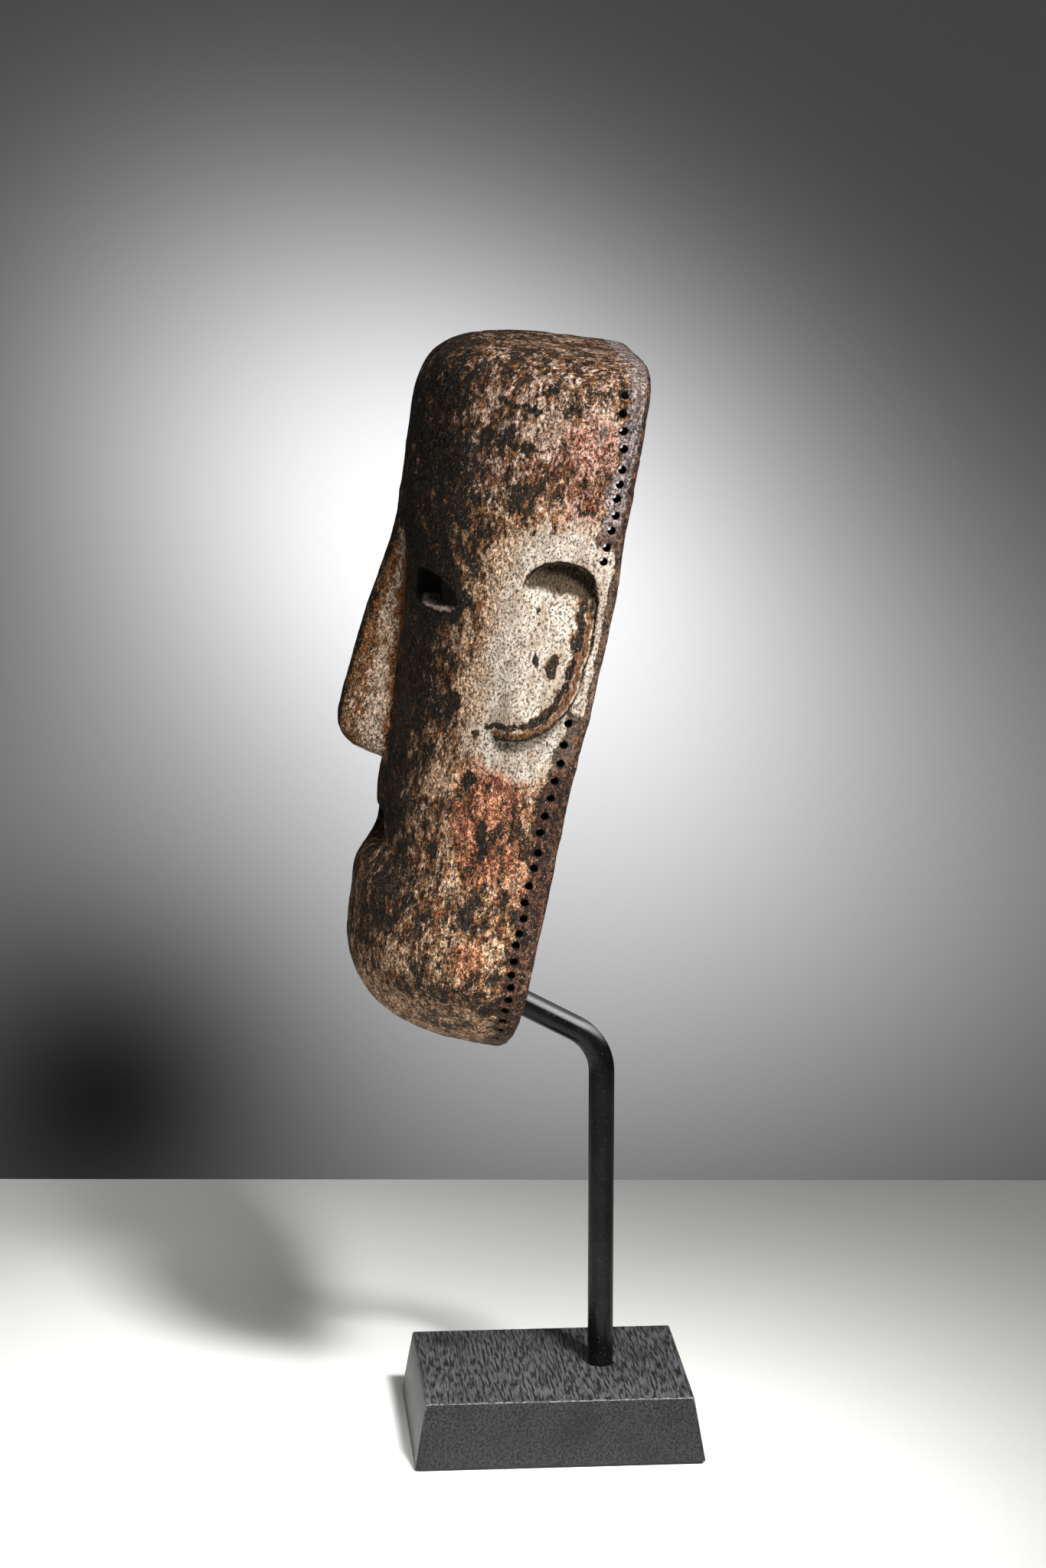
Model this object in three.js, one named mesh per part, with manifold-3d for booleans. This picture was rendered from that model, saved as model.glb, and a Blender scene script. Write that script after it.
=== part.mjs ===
// Carved wooden face mask, held up by a bent steel rod on a black wooden block.
// Millimetres, +Z up. The mask faces -Y and its own left side is +X.
// The origin is the centre of the underside of the block.

import * as THREE from 'three';
import { mergeVertices } from 'three/addons/utils/BufferGeometryUtils.js';
import Module from 'manifold-3d';

const wasm = await Module();
wasm.setup();

const { PI, sin, cos, tan, abs, sign, max, min } = Math;

// Stand: a block that narrows upwards, a thin lining under it, and a round bar with one bend.
const BLOCK = { width: 94.7, depth: 112.4, inset: 4.2, bottom: 1, top: 26, corner: 1.5, arris: 0.6 };
const LINING = { inset: 0.9, bottom: 0, top: 1, corner: 1.2 };
const ROD = { diameter: 10, behind: 19.7, cornerHeight: 157.1, bendRadius: 20, rise: 28, reach: 104 };
const ROD_ENDS = { sunk: 15, chamfer: 1, clearWay: 30 };
const FIT = 0.3;
const ROUND_STEPS = { rod: 24, bend: 9, socket: 20, bore: 32, blockCorner: 4 };

// Mask: where the foot of its back plane is, how far its top leans back, and its two ends.
// Heights run along the mask, and forward depths are taken from the plane of its rim.
const MASK = { foot: [0, -17.4, 181.6], lean: 11.4, chin: -22.9, crown: 247.2, squareness: 2.15 };
const WALL = { side: 9.5, front: 11, chin: 10, crown: 11 };
const SOLID = { side: 0, front: 0, chin: 0, crown: 0 };
const OUTSIDE = { sides: 28, endSteps: 8, middleSteps: 15, arris: 1.2, behind: 0 };
const HOLLOW = { sides: 18, endSteps: 5, middleSteps: 8, arris: 0, behind: 8 };
const ARRIS_SHARE = 1 / 3;
// The middle of the mask as shares of its height, and how near its ends the last rings come.
const RINGS = { middleFrom: 0.17, middleTo: 0.84, endReach: 0.997 };

// Height and forward depth of the front of the face, beside the nose.
const FRONT = [
  [-24, 65.5], [22, 65.8], [38, 66.5], [45, 64.8], [50, 63.3], [57, 62.9], [66, 63.9], [80, 64.4],
  [114, 67], [140, 69.6], [160, 73], [178, 77], [195, 78.7], [212, 79.3], [248, 79.3],
];
// Height and half width of the rim.
const SIDE = [[-24, 72], [60, 72], [150, 72.5], [205, 70.5], [248, 70]];
// Where the rounding of each end starts and how square it is, in depth and in width.
const CHIN_ROUND = { depthFrom: 26, depthPower: 2.8, widthFrom: 12, widthPower: 1.7 };
const CROWN_ROUND = { depthFrom: 208, depthPower: 4.3, widthFrom: 205, widthPower: 6 };

// Nose: height and forward depth of its ridge, height and half width, and its rounded tip.
const NOSE_RIDGE = [[80, 84.9], [95, 84.8], [114, 83.7], [138, 81], [157, 78.3], [169, 77.2], [184, 77]];
const NOSE_HALF = [[80, 12], [95, 11.5], [130, 8.6], [160, 6.8], [184, 6]];
const NOSE = { tip: 80, root: 182, roundFrom: 96, roundPower: 2.6, bury: 9, squareness: 2.3 };
const NOSE_RINGS = { levels: 16, sides: 10, crowding: 1.8, tipGap: 0.1, tipWidth: 0.85 };

// Pierced slots: middle, half length, edges, corner radius, and how far they look outwards.
const EYE = { across: 39, half: 12, low: 145.4, high: 157.2, corner: 1.6, turn: 24 };
const MOUTH = { across: 0, half: 18, low: 47.5, high: 60.5, corner: 3, turn: 0 };
const SLOT_CUT = { inward: 17, outward: 30, cornerSteps: 3 };

// Ear: corners of its C-shaped edge as [forward, height], with the handles of its curves.
const EAR_EDGE = {
  tip: [31.5, 163.5], tipHandle: [30, 170], topHandle: [25, 174],
  top: [16, 174], topBackHandle: [8.5, 174], backHandle: [4.4, 168],
  back: [4.4, 160], backLowHandle: [3.8, 150], waistHandle: [3.9, 142],
  waist: [5, 133], waistLowHandle: [6.8, 117], lobeHandle: [18, 106.5],
  lobe: [31, 105.5], front: [[50, 118], [50, 152]],
};
// Height, and how far the plate of the ear is sunk (-) or proud (+); it fades out forwards.
const EAR_PLATE = [[100, 4.8], [112, 4.2], [126, 2.4], [140, 0.3], [152, -2.4], [164, -5.4], [178, -6.4]];
const EAR_FADE = { end: 34, startAtTop: 24, startAtLobe: 27, clear: 0.44, clearOnPlate: 0.04 };
const EAR_PATCH = { low: 99, high: 179, back: -1, front: 52, inside: 45, levels: 15, across: 12 };
const EAR_PRISM = { inside: 48, outside: 98, curveSteps: 5 };
const EAR_RIM = {
  radius: 2.4, inset: 1.7, sunk: 0.7, endSunk: 2.6, fade: 3, sides: 8, steps: 18, pointsPerCurve: 6,
};

// Lacing holes along the rim: first height, spacing and its change, and their forward places, from
// one end to the other with a swell between. Each seed gives its row an unevenness of its own.
const HOLE = { diameter: 2.9, sides: 6, outside: 4, inside: 15, scatterUp: 0.85, scatterForward: 0.6 };
const UPPER_ROW = {
  count: 11, first: 238.3, step: 6.76, stepChange: -0.069, from: 9.95, to: 5.54, swell: -2.35, seed: 478,
};
const LOWER_ROW = {
  count: 22, first: 116.7, step: 7.63, stepChange: -0.077, from: 5.77, to: 5.63, swell: 2.42, seed: 1984,
};

const radians = (degrees) => degrees * PI / 180;
const mix = (a, b, t) => a + (b - a) * t;
const clamp01 = (t) => min(max(t, 0), 1);
const smooth = (t) => clamp01(t) ** 2 * (3 - 2 * clamp01(t));
const signedPower = (value, exponent) => sign(value) * abs(value) ** exponent;

// A repeatable scatter between -1 and 1.
function scatter(seed) {
  const wave = sin(seed * 12.9898) * 43758.5453;
  return 2 * (wave - Math.floor(wave)) - 1;
}

// Smooth curve through [position, value] stations.
function along(stations, position) {
  const last = stations.length - 1;
  const at = min(max(position, stations[0][0]), stations[last][0]);
  const gap = (k) => stations[k + 1][0] - stations[k][0];
  const slope = (k) => (stations[k + 1][1] - stations[k][1]) / gap(k);
  const tangent = (k) => {
    if (k === 0) return slope(0);
    if (k === last) return slope(last - 1);
    return (slope(k - 1) * gap(k) + slope(k) * gap(k - 1)) / (gap(k - 1) + gap(k));
  };
  let i = 0;
  while (i < last - 1 && at > stations[i + 1][0]) i++;
  const t = (at - stations[i][0]) / gap(i);
  const bend = (t ** 3 - 2 * t ** 2 + t) * gap(i) * tangent(i) + (t ** 3 - t ** 2) * gap(i) * tangent(i + 1);
  return mix(stations[i][1], stations[i + 1][1], 3 * t ** 2 - 2 * t ** 3) + bend;
}

// How much of the full size is left as an end rounds off: 1 where it starts, 0 at the very end.
function roundOff(at, start, end, squareness) {
  return (1 - clamp01((at - start) / (end - start)) ** squareness) ** (1 / squareness);
}

// Forward depth and half width of the mask at a height, or of its hollow when given its wall.
const depthAt = (v, wall = SOLID) => (along(FRONT, v) - wall.front)
  * roundOff(v, CHIN_ROUND.depthFrom, MASK.chin + wall.chin, CHIN_ROUND.depthPower)
  * roundOff(v, CROWN_ROUND.depthFrom, MASK.crown - wall.crown, CROWN_ROUND.depthPower);

const halfAt = (v, wall = SOLID) => (along(SIDE, v) - wall.side)
  * roundOff(v, CHIN_ROUND.widthFrom, MASK.chin + wall.chin, CHIN_ROUND.widthPower)
  * roundOff(v, CROWN_ROUND.widthFrom, MASK.crown - wall.crown, CROWN_ROUND.widthPower);

// The same surface read the other way: sideways place from depth, and depth from sideways place.
const arch = (part) => (1 - clamp01(part) ** MASK.squareness) ** (1 / MASK.squareness);
const sideAt = (u, v) => halfAt(v) * arch(u / depthAt(v));
const faceAt = (x, v) => depthAt(v) * arch(abs(x) / halfAt(v));

// Closed skin over rings that have the same number of points, with convex end caps.
function loft(rings) {
  const count = rings[0].length;
  const last = (rings.length - 1) * count;
  const index = [];
  for (let start = 0; start < last; start += count) {
    for (let i = 0; i < count; i++) {
      const a = start + i;
      const b = start + (i + 1) % count;
      index.push(a, b, b + count, a, b + count, a + count);
    }
  }
  for (let i = 1; i < count - 1; i++) {
    index.push(0, i + 1, i, last, last + i, last + i + 1);
  }
  const geometry = new THREE.BufferGeometry();
  geometry.setAttribute('position', new THREE.Float32BufferAttribute(rings.flat(2), 3));
  geometry.setIndex(index);
  return geometry;
}

function solidOf(geometry) {
  const plain = geometry.clone();
  plain.deleteAttribute('normal');
  plain.deleteAttribute('uv');
  const merged = mergeVertices(plain, 1e-4);
  return new wasm.Manifold(new wasm.Mesh({
    numProp: 3,
    vertProperties: Float32Array.from(merged.attributes.position.array),
    triVerts: Uint32Array.from(merged.index.array),
  }));
}

function geometryOf(solid) {
  const { vertProperties, triVerts } = solid.getMesh();
  const geometry = new THREE.BufferGeometry();
  geometry.setAttribute('position', new THREE.BufferAttribute(vertProperties, 3));
  geometry.setIndex(new THREE.BufferAttribute(triVerts, 1));
  geometry.computeVertexNormals();
  return geometry;
}

// A solid and its mirror image on the other side of the face.
const bothSides = (solid) => [solid, solid.mirror([1, 0, 0])];

// A cylinder from one point to another.
function bar(from, to, radius, sides) {
  const axis = new THREE.Vector3().subVectors(to, from);
  const geometry = new THREE.CylinderGeometry(radius, radius, axis.length(), sides);
  const direction = axis.clone().normalize();
  const turn = new THREE.Quaternion().setFromUnitVectors(new THREE.Vector3(0, 1, 0), direction);
  geometry.applyQuaternion(turn);
  const middle = new THREE.Vector3().addVectors(from, to).multiplyScalar(0.5);
  return geometry.translate(middle.x, middle.y, middle.z);
}

// One level of the mask: a rounded front, from its right rim to its left, and a flat back.
function bodyRing(v, half, depth, { sides, arris, behind }) {
  const front = [];
  for (let k = 0; k <= sides; k++) {
    const angle = PI * k / sides;
    const forward = depth * signedPower(sin(angle), 2 / MASK.squareness);
    front.push([-half * signedPower(cos(angle), 2 / MASK.squareness), -max(forward, arris), v]);
  }
  const back = half - min(arris, half * ARRIS_SHARE);
  return [[-back, behind, v], ...front, [back, behind, v]];
}

// Heights of the rings: close together where an end rounds off, and even between.
function ringHeights(low, high, { endSteps, middleSteps }) {
  const lowTurn = mix(low, high, RINGS.middleFrom);
  const highTurn = mix(low, high, RINGS.middleTo);
  const nearEnd = (k) => RINGS.endReach * sin(PI / 2 * k / endSteps);
  const heights = [];
  for (let k = endSteps; k > 0; k--) heights.push(mix(lowTurn, low, nearEnd(k)));
  for (let k = 0; k <= middleSteps; k++) heights.push(mix(lowTurn, highTurn, k / middleSteps));
  for (let k = 1; k <= endSteps; k++) heights.push(mix(highTurn, high, nearEnd(k)));
  return heights;
}

function maskOutside() {
  const ring = (v) => bodyRing(v, halfAt(v), depthAt(v), OUTSIDE);
  return solidOf(loft(ringHeights(MASK.chin, MASK.crown, OUTSIDE).map(ring)));
}

function maskHollow() {
  const ring = (v) => bodyRing(v, halfAt(v, WALL), depthAt(v, WALL), HOLLOW);
  const heights = ringHeights(MASK.chin + WALL.chin, MASK.crown - WALL.crown, HOLLOW);
  return solidOf(loft(heights.map(ring)));
}

// The nose: flat flanks that widen downwards, a round ridge and a round tip.
function nose() {
  const { levels, sides, crowding, tipGap, tipWidth } = NOSE_RINGS;
  const ring = (v) => {
    const face = along(FRONT, v);
    const left = roundOff(v, NOSE.roundFrom, NOSE.tip, NOSE.roundPower);
    const proud = (along(NOSE_RIDGE, v) - face) * left + NOSE.bury;
    const half = along(NOSE_HALF, v) * mix(tipWidth, 1, left);
    const points = [];
    for (let k = 0; k <= sides; k++) {
      const angle = PI * k / sides;
      const forward = face - NOSE.bury + proud * signedPower(sin(angle), 2 / NOSE.squareness);
      points.push([-half * signedPower(cos(angle), 2 / NOSE.squareness), -forward, v]);
    }
    return points;
  };
  const low = NOSE.tip + tipGap;
  const heights = Array.from({ length: levels + 1 }, (_, k) => mix(low, NOSE.root, (k / levels) ** crowding));
  return solidOf(loft(heights.map(ring)));
}

// A slot with rounded corners that passes right through the front wall.
function slot({ across, half, low, high, corner, turn }) {
  const rise = (high - low) / 2;
  const outline = new THREE.Shape();
  outline.absarc(half - corner, corner - rise, corner, -PI / 2, 0);
  outline.absarc(half - corner, rise - corner, corner, 0, PI / 2);
  outline.absarc(corner - half, rise - corner, corner, PI / 2, PI);
  outline.absarc(corner - half, corner - rise, corner, PI, 1.5 * PI);
  const depth = SLOT_CUT.inward + SLOT_CUT.outward;
  const options = { depth, bevelEnabled: false, curveSegments: SLOT_CUT.cornerSteps };
  const block = new THREE.ExtrudeGeometry(outline, options);
  block.translate(0, 0, -SLOT_CUT.inward);
  block.rotateX(PI / 2);
  block.rotateZ(radians(turn));
  block.translate(across, -faceAt(across, (low + high) / 2), (low + high) / 2);
  return solidOf(block);
}

// The edge of the ear as a path of curves, in the plane of forward depth and height.
function earEdge() {
  const e = EAR_EDGE;
  const point = ([forward, height]) => [-forward, height];
  const path = new THREE.Shape();
  path.moveTo(...point(e.tip));
  path.bezierCurveTo(...point(e.tipHandle), ...point(e.topHandle), ...point(e.top));
  path.bezierCurveTo(...point(e.topBackHandle), ...point(e.backHandle), ...point(e.back));
  path.bezierCurveTo(...point(e.backLowHandle), ...point(e.waistHandle), ...point(e.waist));
  path.bezierCurveTo(...point(e.waistLowHandle), ...point(e.lobeHandle), ...point(e.lobe));
  return path;
}

// How far the plate of the ear stands out from the side of the mask at a place on it.
function earProud(u, v) {
  const down = clamp01((EAR_EDGE.top[1] - v) / (EAR_EDGE.top[1] - EAR_EDGE.lobe[1]));
  const start = mix(EAR_FADE.startAtTop, EAR_FADE.startAtLobe, down);
  const kept = 1 - smooth((u - start) / (EAR_FADE.end - start));
  return { proud: along(EAR_PLATE, v) * kept, kept };
}

// The side of the mask with the plate of the ear in it. Where the ear fades out, the surface keeps
// just clear of the mask: outwards (1) for the tool that sinks the plate, inwards (-1) for the plate.
function earPatch(outwards) {
  const { low, high, back, front, inside, levels, across } = EAR_PATCH;
  const ring = (v) => {
    const points = [];
    for (let k = 0; k <= across; k++) {
      const u = mix(front, back, k / across);
      const { proud, kept } = earProud(u, v);
      const clear = mix(EAR_FADE.clear, EAR_FADE.clearOnPlate, kept);
      points.push([sideAt(max(u, 0), v) + proud + outwards * clear, -u, v]);
    }
    return [[inside, -front, v], ...points, [inside, -back, v]];
  };
  const heights = Array.from({ length: levels + 1 }, (_, k) => mix(low, high, k / levels));
  return solidOf(loft(heights.map(ring)));
}

function earPrism() {
  const outline = earEdge();
  for (const [forward, height] of EAR_EDGE.front) outline.lineTo(-forward, height);
  const depth = EAR_PRISM.outside - EAR_PRISM.inside;
  const options = { depth, bevelEnabled: false, curveSegments: EAR_PRISM.curveSteps };
  const block = new THREE.ExtrudeGeometry(outline, options);
  const sideways = new THREE.Matrix4().makeBasis(
    new THREE.Vector3(0, 1, 0), new THREE.Vector3(0, 0, 1), new THREE.Vector3(1, 0, 0));
  block.applyMatrix4(sideways);
  block.translate(EAR_PRISM.inside, 0, 0);
  return solidOf(block);
}

// The worn ridge that runs down the back of the ear and round its lobe.
function earRidge() {
  const count = EAR_RIM.pointsPerCurve;
  const points = [];
  for (const [order, curve] of earEdge().curves.slice(1).entries()) {
    for (let k = order === 0 ? count / 2 : 1; k <= count; k++) {
      const edge = curve.getPoint(k / count);
      const tangent = curve.getTangent(k / count);
      points.push([-edge.x - tangent.y * EAR_RIM.inset, edge.y - tangent.x * EAR_RIM.inset]);
    }
  }
  const last = points.length - 1;
  const path = new THREE.CatmullRomCurve3(points.map(([u, v], k) => {
    const nearEnd = 1 - smooth(min(k, last - k) / EAR_RIM.fade);
    const sunk = mix(EAR_RIM.sunk, EAR_RIM.endSunk, nearEnd);
    return new THREE.Vector3(sideAt(u, v) + earProud(u, v).proud - sunk, -u, v);
  }));
  const section = new THREE.Shape().absarc(0, 0, EAR_RIM.radius, 0, 2 * PI);
  const options = { steps: EAR_RIM.steps, curveSegments: EAR_RIM.sides / 2, extrudePath: path };
  return solidOf(new THREE.ExtrudeGeometry(section, options));
}

// One row of lacing holes, square to the rim's outline, with the small unevenness of hand work.
function lacingRow({ count, first, step, stepChange, from, to, swell, seed }) {
  return Array.from({ length: count }, (_, k) => {
    const t = k / (count - 1);
    const v = first - step * k - stepChange * k * k + HOLE.scatterUp * scatter(seed + k);
    const u = mix(from, to, t) + 4 * swell * t * (1 - t) + HOLE.scatterForward * scatter(seed + k + 0.5);
    const start = new THREE.Vector3(sideAt(u, v), -u, v);
    const outward = new THREE.Vector3(1, 0, halfAt(v - 0.5) - halfAt(v + 0.5)).normalize();
    const outer = start.clone().addScaledVector(outward, HOLE.outside);
    const inner = start.clone().addScaledVector(outward, -HOLE.inside);
    return solidOf(bar(inner, outer, HOLE.diameter / 2, HOLE.sides));
  });
}

// Where the upper leg of the rod starts if the bend were sharp, and which way it goes.
const rodCorner = new THREE.Vector3(0, ROD.behind, ROD.cornerHeight);
const rodForward = new THREE.Vector3(0, -cos(radians(ROD.rise)), sin(radians(ROD.rise)));
const rodTip = rodCorner.clone().addScaledVector(rodForward, ROD.reach);

// Places the mask in the frame of the stand.
const maskPose = new THREE.Object3D();
maskPose.position.set(...MASK.foot);
maskPose.rotation.x = -radians(MASK.lean);
maskPose.updateMatrix();

// The blind hole inside the chin that takes the end of the rod.
function rodSocket() {
  const intoMask = maskPose.matrix.clone().invert();
  const end = rodTip.clone().addScaledVector(rodForward, FIT).applyMatrix4(intoMask);
  const start = rodTip.clone().addScaledVector(rodForward, -ROD_ENDS.clearWay).applyMatrix4(intoMask);
  return solidOf(bar(start, end, ROD.diameter / 2 + FIT, ROUND_STEPS.socket));
}

function maskGeometry() {
  const { union } = wasm.Manifold;
  const prism = earPrism();
  const sunkPart = prism.subtract(earPatch(1));
  const proudPart = prism.intersect(earPatch(-1));
  const wood = union([
    maskOutside().subtract(union(bothSides(sunkPart))),
    nose(),
    ...bothSides(union([proudPart, earRidge()])),
  ]);
  const tools = union([
    maskHollow(),
    slot(MOUTH),
    rodSocket(),
    ...bothSides(slot(EYE)),
    ...bothSides(union([...lacingRow(UPPER_ROW), ...lacingRow(LOWER_ROW)])),
  ]);
  return geometryOf(wood.subtract(tools));
}

// A rod of constant section along its two straight legs and the bend between them.
function rodGeometry() {
  const turn = PI / 2 - radians(ROD.rise);
  const trim = ROD.bendRadius * tan(turn / 2);
  const foot = BLOCK.top - ROD_ENDS.sunk + FIT;
  const ring = (y, z, lean, radius) => Array.from({ length: ROUND_STEPS.rod }, (_, k) => {
    const angle = 2 * PI * k / ROUND_STEPS.rod;
    const back = radius * sin(angle);
    return [radius * cos(angle), y + back * cos(lean), z + back * sin(lean)];
  });
  const radius = ROD.diameter / 2;
  const narrow = radius - ROD_ENDS.chamfer;
  const rings = [
    ring(ROD.behind, foot, 0, narrow),
    ring(ROD.behind, foot + ROD_ENDS.chamfer, 0, radius),
  ];
  const bendStart = ROD.cornerHeight - trim;
  for (let k = 0; k <= ROUND_STEPS.bend; k++) {
    const lean = turn * k / ROUND_STEPS.bend;
    const y = ROD.behind - ROD.bendRadius * (1 - cos(lean));
    rings.push(ring(y, bendStart + ROD.bendRadius * sin(lean), lean, radius));
  }
  const shoulder = rodTip.clone().addScaledVector(rodForward, -ROD_ENDS.chamfer);
  rings.push(ring(shoulder.y, shoulder.z, turn, radius), ring(rodTip.y, rodTip.z, turn, narrow));
  return loft(rings);
}

// A rectangle with rounded corners at one level.
function plateRing(width, depth, corner, z) {
  const points = [];
  for (let quarter = 0; quarter < 4; quarter++) {
    const start = PI / 2 * quarter;
    const middleX = sign(cos(start + PI / 4)) * (width / 2 - corner);
    const middleY = sign(sin(start + PI / 4)) * (depth / 2 - corner);
    for (let k = 0; k <= ROUND_STEPS.blockCorner; k++) {
      const angle = start + PI / 2 * k / ROUND_STEPS.blockCorner;
      points.push([middleX + corner * cos(angle), middleY + corner * sin(angle), z]);
    }
  }
  return points;
}

function blockGeometry() {
  const { width, depth, inset, bottom, top, corner, arris } = BLOCK;
  const narrowed = (t, extra) => [width - 2 * (inset * t + extra), depth - 2 * (inset * t + extra)];
  const shoulder = (top - arris - bottom) / (top - bottom);
  const body = solidOf(loft([
    plateRing(...narrowed(0, 0), corner, bottom),
    plateRing(...narrowed(shoulder, 0), corner, top - arris),
    plateRing(...narrowed(1, arris), corner, top),
  ]));
  const boreFloor = new THREE.Vector3(0, ROD.behind, top - ROD_ENDS.sunk);
  const aboveBore = new THREE.Vector3(0, ROD.behind, 2 * top);
  const bore = solidOf(bar(boreFloor, aboveBore, ROD.diameter / 2 + FIT, ROUND_STEPS.bore));
  return geometryOf(body.subtract(bore));
}

function liningGeometry() {
  const width = BLOCK.width - 2 * LINING.inset;
  const depth = BLOCK.depth - 2 * LINING.inset;
  return loft([
    plateRing(width, depth, LINING.corner, LINING.bottom),
    plateRing(width, depth, LINING.corner, LINING.top),
  ]);
}

function piece(name, geometry, color, roughness, metalness) {
  const mesh = new THREE.Mesh(geometry, new THREE.MeshStandardMaterial({ color, roughness, metalness }));
  mesh.name = name;
  return mesh;
}

const carving = new THREE.Group();
carving.position.copy(maskPose.position);
carving.rotation.copy(maskPose.rotation);
carving.add(piece('mask', maskGeometry(), 0x8a6a4c, 0.85, 0));

const stand = new THREE.Group();
stand.add(
  piece('stand_rod', rodGeometry(), 0x2b2b2d, 0.35, 0.9),
  piece('stand_block', blockGeometry(), 0x1f1c1b, 0.4, 0),
  piece('block_lining', liningGeometry(), 0x161414, 0.95, 0),
);

const object = new THREE.Group();
object.add(carving, stand);

export default object;
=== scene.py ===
"""Looks for a carved wooden face mask that a bent rod holds up on a black block.

The mask is worked out in millimetres in its own frame, as in the CAD part: x to its left, u forward
from the plane of its rim, v up along it. Blender itself is in metres.
"""

import math
from functools import partialmethod
from types import SimpleNamespace as Named

import bpy
import numpy as np
from mathutils import Matrix, Vector


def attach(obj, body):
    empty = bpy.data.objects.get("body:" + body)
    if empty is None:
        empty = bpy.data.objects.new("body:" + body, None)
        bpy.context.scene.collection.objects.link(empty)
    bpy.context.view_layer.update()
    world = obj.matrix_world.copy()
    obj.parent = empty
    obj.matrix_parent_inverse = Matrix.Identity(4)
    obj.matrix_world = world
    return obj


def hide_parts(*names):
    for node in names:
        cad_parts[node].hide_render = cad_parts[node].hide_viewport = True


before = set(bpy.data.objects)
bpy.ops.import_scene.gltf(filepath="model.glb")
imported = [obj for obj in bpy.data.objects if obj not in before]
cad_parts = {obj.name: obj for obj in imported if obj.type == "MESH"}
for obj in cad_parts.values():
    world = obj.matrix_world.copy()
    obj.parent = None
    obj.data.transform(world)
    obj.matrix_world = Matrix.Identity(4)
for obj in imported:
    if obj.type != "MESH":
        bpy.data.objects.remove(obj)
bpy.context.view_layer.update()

MM = 0.001

# Mask: where it stands, its ends, its walls and its rim.
FOOT = (0, -17.4, 181.6)
LEAN = math.radians(11.4)
CHIN = -22.9
CROWN = 247.2
SQUARENESS = 2.15
WALL = {"side": 9.5, "front": 11, "chin": 10, "crown": 11}
RIM_BLEND = 2.08
RIM_BULGE = Named(middle=150, spread=42, back=2.2)

# Height and forward depth of the front of the face, and height and half width of the rim.
FRONT = (
    (-24, 65.5), (22, 65.8), (38, 66.3), (45, 63.4), (50, 62.0), (57, 62.3), (66, 63.8), (80, 64.4),
    (114, 67), (140, 69.6), (160, 73), (178, 76.8), (195, 78.2), (212, 79.3), (248, 79.3),
)
SIDE = ((-24, 72), (60, 72), (150, 72.5), (205, 70.5), (248, 70))
# Height where the rounding of each end starts, and its power, as seen from the side and from the front.
CHIN_ROUND = {"depth": (26, 2.8), "width": (12, 1.7)}
CROWN_ROUND = {"depth": (208, 3.9), "width": (205, 6)}
CROWN_BACK = Named(lift=1.1, until=34)

# Nose: its ridge, its half width and its rounded tip.
NOSE_RIDGE = ((80, 84.9), (95, 84.8), (114, 83.7), (138, 81), (157, 78.3), (169, 77.2), (184, 77))
NOSE_HALF = ((80, 12), (95, 11.5), (130, 8.6), (160, 6.8), (184, 6))
NOSE = Named(
    tip=80, root=182, round_from=96, round_power=2.6, tip_share=0.85,
    bury=9, squareness=2.3, fillet=2.5,
)

# Pierced slots: middle, half length, edges, corner radius and how far they look outwards. The lower
# lip slopes down outwards from a depth, and droop and lift close the slot towards its outer corner.
EYE = Named(
    across=39, half=13.2, low=145.9, high=157.2, corner=1.6, turn=24,
    slope=0.1, depth=7, droop=4.4, lift=4, blend=0.9,
)
MOUTH = Named(
    across=0, half=18, low=47.5, high=60.5, corner=3, turn=0,
    slope=0.3, depth=6, droop=0, lift=0, blend=1.4,
)
SLOT_INWARD = 17
CLOSING = Named(start=-0.2, most=1.1, power=1.3)

# Ear: its C-shaped edge as (forward, height), four curves with two handles each, and its plate.
EAR_EDGE = (
    (31.5, 163.5), (30, 170), (25, 174), (16, 174), (8.5, 174), (4.4, 168), (4.4, 160),
    (3.8, 150), (3.9, 142), (5, 133), (6.8, 117), (18, 106.5), (31, 105.5),
)
EAR_FRONT = ((50, 118), (50, 152))
EAR_PLATE = ((100, 4.8), (112, 4.2), (126, 2.4), (140, 0.3), (152, -2.4), (164, -5.4), (178, -6.4))
EAR_FADE = Named(end=34, start_at_top=24, start_at_lobe=27)
EAR_RIM = Named(radius=2.4, inset=1.7, sunk=0.7, starts=0.36, ends=1.02, fade=0.1, dive=3, blend=1.0)
EAR_HEIGHTS = (96, 182)
EAR_MARGIN = 4
EAR_BLEND = 0.9

# Lacing holes along the rim.
HOLE = Named(diameter=3.9, taper=0.7, outside=4, inside=11, scatter_up=0.85, scatter_forward=0.6)
UPPER_ROW = Named(
    count=11, first=238.3, step=6.76, change=-0.069,
    start=9.95, end=5.54, swell=-2.35, seed=478,
)
LOWER_ROW = Named(
    count=22, first=116.7, step=7.63, change=-0.077,
    start=5.77, end=5.63, swell=2.42, seed=1984,
)

# Crack at the top of the rim, as (forward, height) from its open end to the hole it runs into. The
# blade that cuts it narrows along the crack and inwards, between its outer and inner sideways place.
CRACK_PATH = ((3.4, 246), (2.0, 238), (1.6, 229), (2.6, 222), (2.9, 215), (4.4, 211.5))
CRACK = Named(width=0.8, end_share=0.35, inner_share=0.2, outer=80, inner=64, steps=30, wander=0.25)

# Stand.
BLOCK = Named(width=94.7, depth=112.4, inset=4.2, bottom=1, top=26, arris=0.7)
ROD = Named(diameter=10, behind=19.7, corner_height=157.1, bend_radius=20, rise=28, reach=104)
ROD_SUNK = 15
SOCKET_DEPTH = 30
FIT = 0.3

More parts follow.
